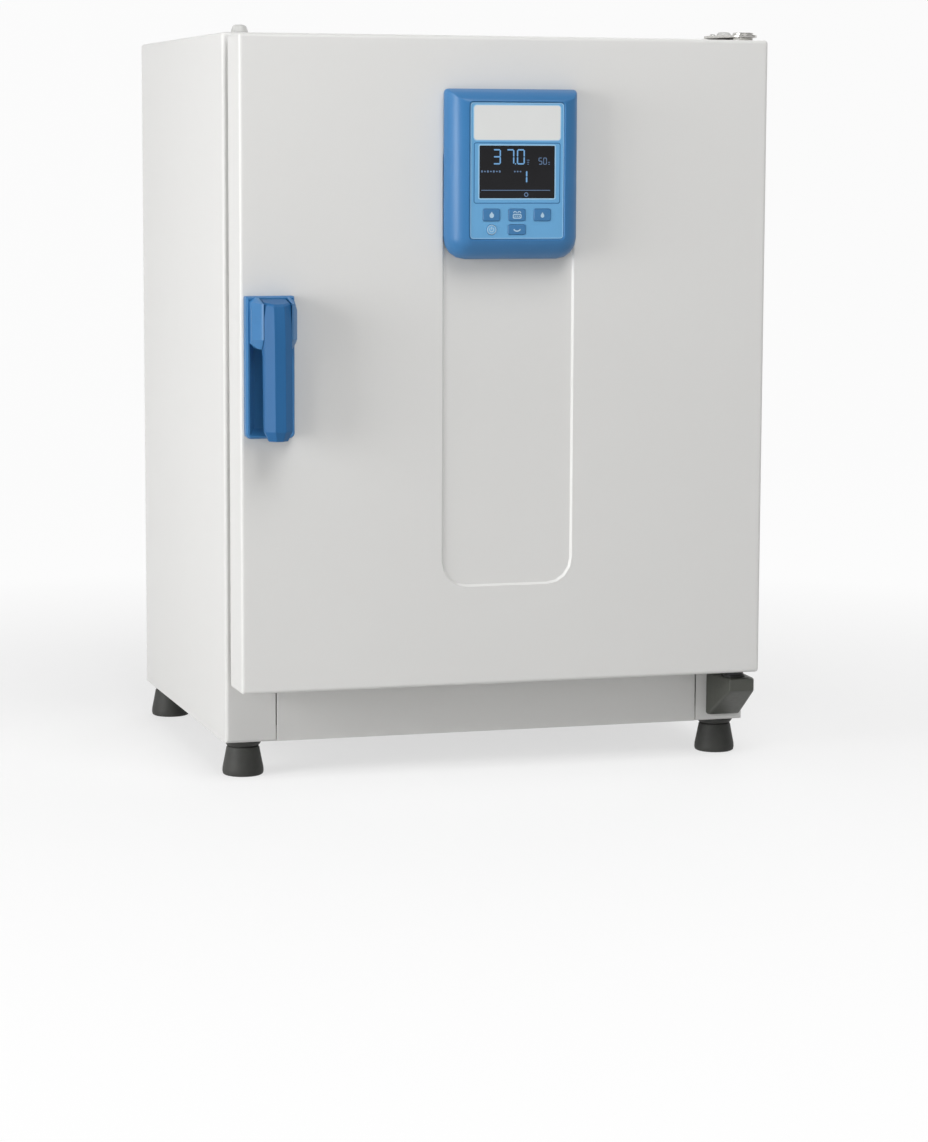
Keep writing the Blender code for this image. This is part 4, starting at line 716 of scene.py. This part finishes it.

# The control unit: a blue moulded housing with broad sloping shoulders, with a printed film over its
# front. The film carries a bare pale plate. Light lines round its edge, the plate and the display window
# are painted highlights, and a fine dark line round the display is painted shade in a groove.
shell_blue = moulding("housing blue", (0.040, 0.188, 0.425), 0.36, Specular_IOR_Level=0.40)
dress(
    "control_bezel", "control_housing", shell_blue.material,
    edge=0.0008, crease=42.0, soft=True,
)
film_grain, film_scale = 0.000008, 1500.0
film_blue = moulding(
    "panel film", (0.155, 0.420, 0.720), 0.34, film_grain, film_scale, Specular_IOR_Level=0.40
)
dress("control_panel", "control_film", film_blue.material, edge=0.0003)


def round_corners(left, low, right, high, corner, steps=5):
    """A rectangle with round corners, as points in the plane of the door."""
    points = []
    centres = ((right - corner, low + corner), (right - corner, high - corner))
    centres += ((left + corner, high - corner), (left + corner, low + corner))
    for quarter, (x, z) in enumerate(centres):
        for step in range(steps + 1):
            turn = (quarter - 1 + step / steps) * math.pi / 2
            points.append((x + corner * math.cos(turn), z + corner * math.sin(turn)))
    return points


def printed(name, shapes, face, thick, body, material):
    """Flat shapes of thick ink or film on a face that looks forward, some with a hole through them."""
    shell = bmesh.new()
    for outer, inner in shapes:
        for outline, other in ((outer, inner), (inner, outer)):
            if outline is None:
                continue
            near = [shell.verts.new((x, face - thick, z)) for x, z in outline]
            far = [shell.verts.new((x, face, z)) for x, z in outline]
            for n in range(len(outline)):
                after = (n + 1) % len(outline)
                shell.faces.new((near[n], near[after], far[after], far[n]))
            if outline is outer:
                edge_near, edge_far = near, far
            if other is None:
                shell.faces.new(near)
                shell.faces.new(far)
            elif outline is inner:
                for ring, rim in ((near, edge_near), (far, edge_far)):
                    for n in range(len(ring)):
                        after = (n + 1) % len(ring)
                        shell.faces.new((ring[n], ring[after], rim[after], rim[n]))
    bmesh.ops.recalc_face_normals(shell, faces=shell.faces)
    mesh = bpy.data.meshes.new(name)
    shell.to_mesh(mesh)
    shell.free()
    mesh.materials.append(material)
    piece = bpy.data.objects.new(name, mesh)
    scene.collection.objects.link(piece)
    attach(piece, body)


film_low, film_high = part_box("control_panel")
film_face = film_low.y
film_edges = (film_low.x, film_low.z, film_high.x, film_high.z)
window_low, window_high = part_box("display_window")
window_edges = (window_low.x, window_low.z, window_high.x, window_high.z)


def inset(edges, amount, corner):
    """A rectangle with round corners, smaller by an amount on every side."""
    left, low, right, high = edges
    return round_corners(left + amount, low + amount, right - amount, high - amount, corner)


pale_print = moulding("pale print", (0.80, 0.81, 0.80), 0.36, film_grain, 1700.0)
# The lighter blue ink paints highlights along edges.
edge_highlight_print = moulding("edge highlight print", (0.36, 0.62, 0.86), 0.34, film_grain, film_scale)
# The dark blue ink paints the shade in a groove round the display.
groove_shade_print = moulding("groove shade print", (0.022, 0.130, 0.330), 0.34, film_grain, film_scale)
border_ink, plate_ink, line_ink = 0.00006, 0.00012, 0.00005
plate_left, plate_right = film_low.x + 0.0036, film_high.x - 0.0036
plate_edges = (plate_left, film_high.z - 0.0347, plate_right, film_high.z - 0.0028)
# Painted highlight along the film's edge.
printed(
    "film_border", [(inset(film_edges, 0.0004, 0.0027), inset(film_edges, 0.0010, 0.0022))],
    film_face, border_ink, "door", edge_highlight_print.material,
)
# Painted highlight round the plate's edge.
printed(
    "plate_border", [(inset(plate_edges, -0.0008, 0.0034), inset(plate_edges, 0.0002, 0.0024))],
    film_face, border_ink, "door", edge_highlight_print.material,
)
printed(
    "bare_plate", [(inset(plate_edges, 0.0, 0.0026), None)],
    film_face, plate_ink, "door", pale_print.material,
)
groove_shade_edges = (plate_left - 0.0002, window_low.z - 0.0050, plate_right + 0.0002, window_high.z + 0.0029)
# Painted shade: a fine dark line where a groove runs round the display.
printed(
    "display_line", [(inset(groove_shade_edges, 0.0, 0.0022), inset(groove_shade_edges, 0.0008, 0.0014))],
    film_face, line_ink, "door", groove_shade_print.material,
)
# Painted highlight round the display window's edge.
printed(
    "display_border", [(inset(window_edges, -0.0012, 0.0018), inset(window_edges, -0.0001, 0.0010))],
    film_face, line_ink, "door", edge_highlight_print.material,
)

# Four keys are embossed in a darker blue with pale signs: a flame, a set of dots in a frame, a drop and
# a bow. The round key at the lower left keeps the film's colour and has a standby sign.
key_blue = moulding("key film", (0.052, 0.205, 0.440), 0.34, film_grain, film_scale)
sign_print = moulding("sign print", (0.48, 0.66, 0.80), 0.40, film_grain, film_scale)


def ring_points(x, z, radius, start=0.0, end=math.tau, steps=20):
    """Points on a circle, or on an arc of it with a point at each end."""
    turns = [start + (end - start) * n / steps for n in range(steps + (end - start < math.tau))]
    return [(x + radius * math.cos(t), z + radius * math.sin(t)) for t in turns]


def bow(x, z, radius, stroke, start, end, steps=12):
    """A curved stroke of even width."""
    outer = ring_points(x, z, radius + stroke / 2, start, end, steps)
    return outer + list(reversed(ring_points(x, z, radius - stroke / 2, start, end, steps)))


def drop(x, z, radius, tip):
    """A drop: round below, drawn to a point above."""
    round_part = ring_points(x, z, radius, math.radians(-210.0), math.radians(30.0), 16)
    neck_x, neck_z = radius * 0.30, z + tip * 0.68
    return round_part + [(x + neck_x, neck_z), (x, z + tip), (x - neck_x, neck_z)]


for key in ("key_left", "key_middle", "key_right", "key_lower", "key_standby"):
    key_low, key_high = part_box(key)
    middle_x, middle_z = (key_low.x + key_high.x) / 2, (key_low.z + key_high.z) / 2
    if key == "key_left":
        signs = [(drop(middle_x, middle_z - 0.0006, 0.0022, 0.0038), None)]
    elif key == "key_right":
        signs = [(drop(middle_x, middle_z - 0.0008, 0.0018, 0.0036), None)]
    elif key == "key_middle":
        frame_edges = (middle_x - 0.0043, middle_z - 0.0034, middle_x + 0.0043, middle_z + 0.0010)
        signs = [(inset(frame_edges, 0.0, 0.0014), inset(frame_edges, 0.0009, 0.0008))]
        for dx in (-0.002, 0.0, 0.002):
            signs.append((ring_points(middle_x + dx, middle_z - 0.0012, 0.0006, steps=10), None))
        for dx in (-0.0021, 0.0021):
            signs.append((bow(middle_x + dx, middle_z + 0.0018, 0.0014, 0.0008, 0.0, math.pi), None))
    elif key == "key_lower":
        bow_start, bow_end = math.radians(215), math.radians(325)
        signs = [(bow(middle_x, middle_z + 0.0026, 0.0040, 0.0011, bow_start, bow_end), None)]
    else:
        rim_outer = ring_points(middle_x, middle_z, 0.0045, steps=32)
        rim_inner = ring_points(middle_x, middle_z, 0.0039, steps=32)
        bow_start, bow_end = math.radians(-235), math.radians(55)
        open_ring = bow(middle_x, middle_z, 0.0020, 0.0006, bow_start, bow_end, 18)
        stroke_edges = (middle_x - 0.0004, middle_z + 0.0002, middle_x + 0.0004, middle_z + 0.0028)
        signs = [(rim_outer, rim_inner), (open_ring, None), (inset(stroke_edges, 0.0, 0.0002), None)]
    cap_material = film_blue.material if key == "key_standby" else key_blue.material
    dress(key, key + "_cap", cap_material, edge=0.0004)
    printed(key + "_sign", signs, key_low.y, border_ink, key + "_cap", sign_print.material)

# Behind a smoked window the display shows 37.0 in large lit bars, with a smaller 50 beside it, a 1 below,
# a row of small marks and a thin line with a ring under it.
window_black = Finish("display window", (0.009, 0.009, 0.011), 0.16, Specular_IOR_Level=0.32)
window_smear = window_black.noise(30.0, 4.0)
window_black.set(Roughness=window_smear * 0.10 + 0.12)
window_black.set(Base_Color=window_black.blend(window_smear, (0.008, 0.008, 0.010), (0.012, 0.012, 0.014)))
dress("display_window", "display_glass", window_black.material, edge=0.0002)

bar_recipe = Recipe("display bars")
bar_shape = bar_recipe.entry("Bar", "Object")
bar_glow = bar_recipe.entry("Glow", "Material")
bar_turn = bar_recipe.node("GeometryNodeInputNamedAttribute", {"data_type": "FLOAT"}, {"Name": "turn"})
bar_size = bar_recipe.node(
    "GeometryNodeInputNamedAttribute", {"data_type": "FLOAT_VECTOR"}, {"Name": "size"}
)
bar_pose = bar_recipe.node(
    "FunctionNodeAxisAngleToRotation", {}, {"Axis": (0.0, 1.0, 0.0), "Angle": bar_turn}
)
bar_points = bar_recipe.node("GeometryNodeMeshToPoints", {}, {"Mesh": bar_recipe.entry("Geometry")})
bar_form = bar_recipe.node("GeometryNodeObjectInfo", {}, {"Object": bar_shape}, "Geometry")
bar_set = bar_recipe.node(
    "GeometryNodeInstanceOnPoints",
    {},
    {"Points": bar_points, "Instance": bar_form, "Rotation": bar_pose, "Scale": bar_size},
)
bar_solid = bar_recipe.node("GeometryNodeRealizeInstances", {}, {"Geometry": bar_set})
bar_finished = bar_recipe.node("GeometryNodeSetMaterial", {}, {"Geometry": bar_solid, "Material": bar_glow})
bar_recipe.close(bar_finished)

bar_mesh = bpy.data.meshes.new("bar_pattern")
bar_shell = bmesh.new()
bar_outline = [(-0.5, 0.0), (-0.42, -0.5), (0.42, -0.5), (0.5, 0.0), (0.42, 0.5), (-0.42, 0.5)]
bar_near = [bar_shell.verts.new((x, -1.0, z)) for x, z in bar_outline]
bar_far = [bar_shell.verts.new((x, 0.0, z)) for x, z in bar_outline]
for n in range(len(bar_outline)):
    after = (n + 1) % len(bar_outline)
    bar_shell.faces.new((bar_near[n], bar_near[after], bar_far[after], bar_far[n]))
bar_shell.faces.new(bar_near)
bar_shell.faces.new(bar_far)
bmesh.ops.recalc_face_normals(bar_shell, faces=bar_shell.faces)
bar_shell.to_mesh(bar_mesh)
bar_shell.free()
bar_pattern = bpy.data.objects.new("bar_pattern", bar_mesh)
scene.collection.objects.link(bar_pattern)

glow_blue = Finish("display glow", (0.03, 0.08, 0.14), 0.30, Emission_Strength=0.60)
glow_cells = glow_blue.noise(900.0, 1.0)
glow_blue.set(Emission_Color=glow_blue.blend(glow_cells, (0.19, 0.46, 0.86), (0.27, 0.56, 0.94)))
glow_dim = Finish("dim display glow", (0.03, 0.06, 0.10), 0.30, Emission_Strength=0.28)
dim_cells = glow_dim.noise(900.0, 1.0)
glow_dim.set(Emission_Color=glow_dim.blend(dim_cells, (0.26, 0.44, 0.80), (0.34, 0.52, 0.88)))

lit = {"0": "abcdef", "1": "bc", "3": "abgcd", "5": "afgcd", "7": "abc"}


def lit_digit(digit, left, top, width, height, stroke):
    """The bars of one digit, with the display's upper left corner as zero and millimetres as measure."""
    half_x, half_z = width / 2, height / 2
    across, upright = width - stroke * 1.25, half_z - stroke * 0.75
    high, low = half_z / 2 + stroke / 4, half_z * 1.5 - stroke / 4
    bars = {
        "a": (half_x, stroke / 2, across, 0.0),
        "b": (width - stroke / 2, high, upright, 1.0),
        "c": (width - stroke / 2, low, upright, 1.0),
        "d": (half_x, height - stroke / 2, across, 0.0),
        "e": (stroke / 2, low, upright, 1.0),
        "f": (stroke / 2, high, upright, 1.0),
        "g": (half_x, half_z, across, 0.0),
    }
    return [
        (left + dx, top + down, long, stroke, turned)
        for dx, down, long, turned in (bars[letter] for letter in lit[digit])
    ]


bar_thickness = 0.00006
bar_face = window_low.y - 0.00002


def show(name, bars, glow):
    """Lit bars on the window, each as across, down, length, stroke and quarter turns."""
    places = bpy.data.meshes.new(name + "_places")
    points = [
        (window_low.x + across / 1000, bar_face, window_high.z - down / 1000)
        for across, down, long, stroke, turned in bars
    ]
    places.from_pydata(points, [], [])
    sizes = []
    for across, down, long, stroke, turned in bars:
        sizes += [long / 1000, bar_thickness, stroke / 1000]
    places.attributes.new("size", "FLOAT_VECTOR", "POINT").data.foreach_set("vector", sizes)
    turns = [turned * math.pi / 2 for across, down, long, stroke, turned in bars]
    places.attributes.new("turn", "FLOAT", "POINT").data.foreach_set("value", turns)
    lit_piece = bar_recipe.make(name, places, "door", {"Bar": bar_pattern, "Glow": glow.material})


bright_bars = []
for digit, left in (("3", 13.1), ("7", 26.3), ("0", 36.6)):
    bright_bars += lit_digit(digit, left, 3.2, 7.8, 14.3, 1.25)
bright_bars += lit_digit("1", 43.8, 22.7, 3.2, 12.3, 1.4)
decimal_point = (35.2, 16.9, 1.1, 1.1, 0.0)
bright_bars.append(decimal_point)
show("display_figures", bright_bars, glow_blue)

dim_bars = []
for digit, left in (("5", 58.0), ("0", 62.6)):
    dim_bars += lit_digit(digit, left, 11.0, 3.6, 6.5, 0.7)
marks_down = 24.0
dim_bars += [(2.4 + mark * 2.9, marks_down, 1.7, 1.2 if mark % 2 else 1.9, 0.0) for mark in range(7)]
dim_bars += [(34.6 + mark * 2.8, marks_down, 1.5, 1.3, 0.0) for mark in range(3)]
dim_bars += [(47.7, down, long, 0.6, 0.0) for down, long in ((13.4, 2.6), (15.3, 2.1), (17.1, 1.6))]
dim_bars += [(68.4, down, 1.6, 0.6, 0.0) for down in (15.3, 17.1)]
show("display_marks", dim_bars, glow_dim)
bpy.data.objects.remove(bar_pattern)
scale_left, scale_right = window_low.x + 0.0018, window_high.x - 0.0042
scale_edges = (scale_left, window_high.z - 0.0418, scale_right, window_high.z - 0.0412)
ring_x, ring_z = window_low.x + 0.0460, window_high.z - 0.0455
printed(
    "display_scale",
    [
        (inset(scale_edges, 0.0, 0.0001), None),
        (ring_points(ring_x, ring_z, 0.0021), ring_points(ring_x, ring_z, 0.0013)),
    ],
    bar_face, bar_thickness, "door", glow_dim.material,
)

# The board behind the film carries the display and the key switches on green glass-fibre laminate. The
# supply board in the base is of the same laminate, beside a transformer in a zinc-coated sheet cover.
laminate = Finish("board laminate", (0.012, 0.115, 0.050), 0.40, Coat_Weight=0.25)
track_sizes = {"Vector": laminate.place, "Scale": 260.0, "Mortar Size": 0.018}
track_grid = laminate.node("TexBrick", {"offset": 0.35, "squash": 1.0}, track_sizes, "Fac")
laminate.set(Base_Color=laminate.blend(track_grid, (0.010, 0.105, 0.045), (0.030, 0.210, 0.090)))
dress("control_board", "display_board", laminate.material, edge=0.0, flat=1e-9)
dress("mains_board", "power_board", laminate.material, edge=0.0, flat=1e-9)
dress("transformer", "mains_transformer", spangle.material, edge=0.0005)

# The handle is two mouldings: a dished base with two cheeks in the housing's blue, and a darker lever that
# turns on trunnions between them. The lever's tail works a steel hook inside the door. When the door is
# shut, the hook rests in the window of a striker that two screws hold on the front post.
grip_blue = moulding("grip blue", (0.021, 0.130, 0.325), 0.50, Specular_IOR_Level=0.26)
dress(
    "handle_base", "handle_dish", shell_blue.material,
    edge=0.0008, crease=24.0, steps=3,
)
dress(
    "handle_lever", "handle_grip", grip_blue.material,
    edge=0.0012, crease=20.0, steps=3,
)
dress("latch_hook", "door_hook", bright_plate.material, edge=0.0004)
dress("latch_bracket", "hook_bracket", spangle.material, edge=0.0003)
dress("strike_plate", "striker", bright_plate.material, edge=0.0003)
strike_low, strike_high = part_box("strike_plate")
strike_x = (strike_low.x + strike_high.x) / 2
strike_screw_inset = 0.0055
strike_rows = (strike_low.z + strike_screw_inset, strike_high.z - strike_screw_inset)
strike_places = [((strike_x, strike_low.y, z), (0.0, -1.0, 0.0)) for z in strike_rows]
fasten("striker_screws", flush_head, strike_places, "cabinet", zinc.material, radius=0.0026, seed=8)

# The inner door is one toughened pane with ground edges, in two clamped fittings, with a turned knob. Its
# hinge leaves are fixed to the frame of the chamber's mouth.
pane_glass = Finish(
    "toughened glass", (0.93, 0.97, 0.955), 0.02,
    Transmission_Weight=1.0, IOR=1.50, Specular_IOR_Level=0.5,
)
dress("glass_pane", "inner_pane", pane_glass.material, edge=0.0006)
dress("glass_fitting_upper", "upper_pane_clamp", bright_plate.material, edge=0.0003)
dress("glass_fitting_lower", "lower_pane_clamp", bright_plate.material, edge=0.0003)
dress("glass_hinge_upper", "upper_pane_hinge", bright_plate.material, edge=0.0003)
dress("glass_hinge_lower", "lower_pane_hinge", bright_plate.material, edge=0.0003)
dress("glass_knob", "pane_knob", bright_plate.material, edge=0.0004, crease=40.0)

for pattern in (pan_head, flush_head, cap_head):
    bpy.data.objects.remove(pattern)
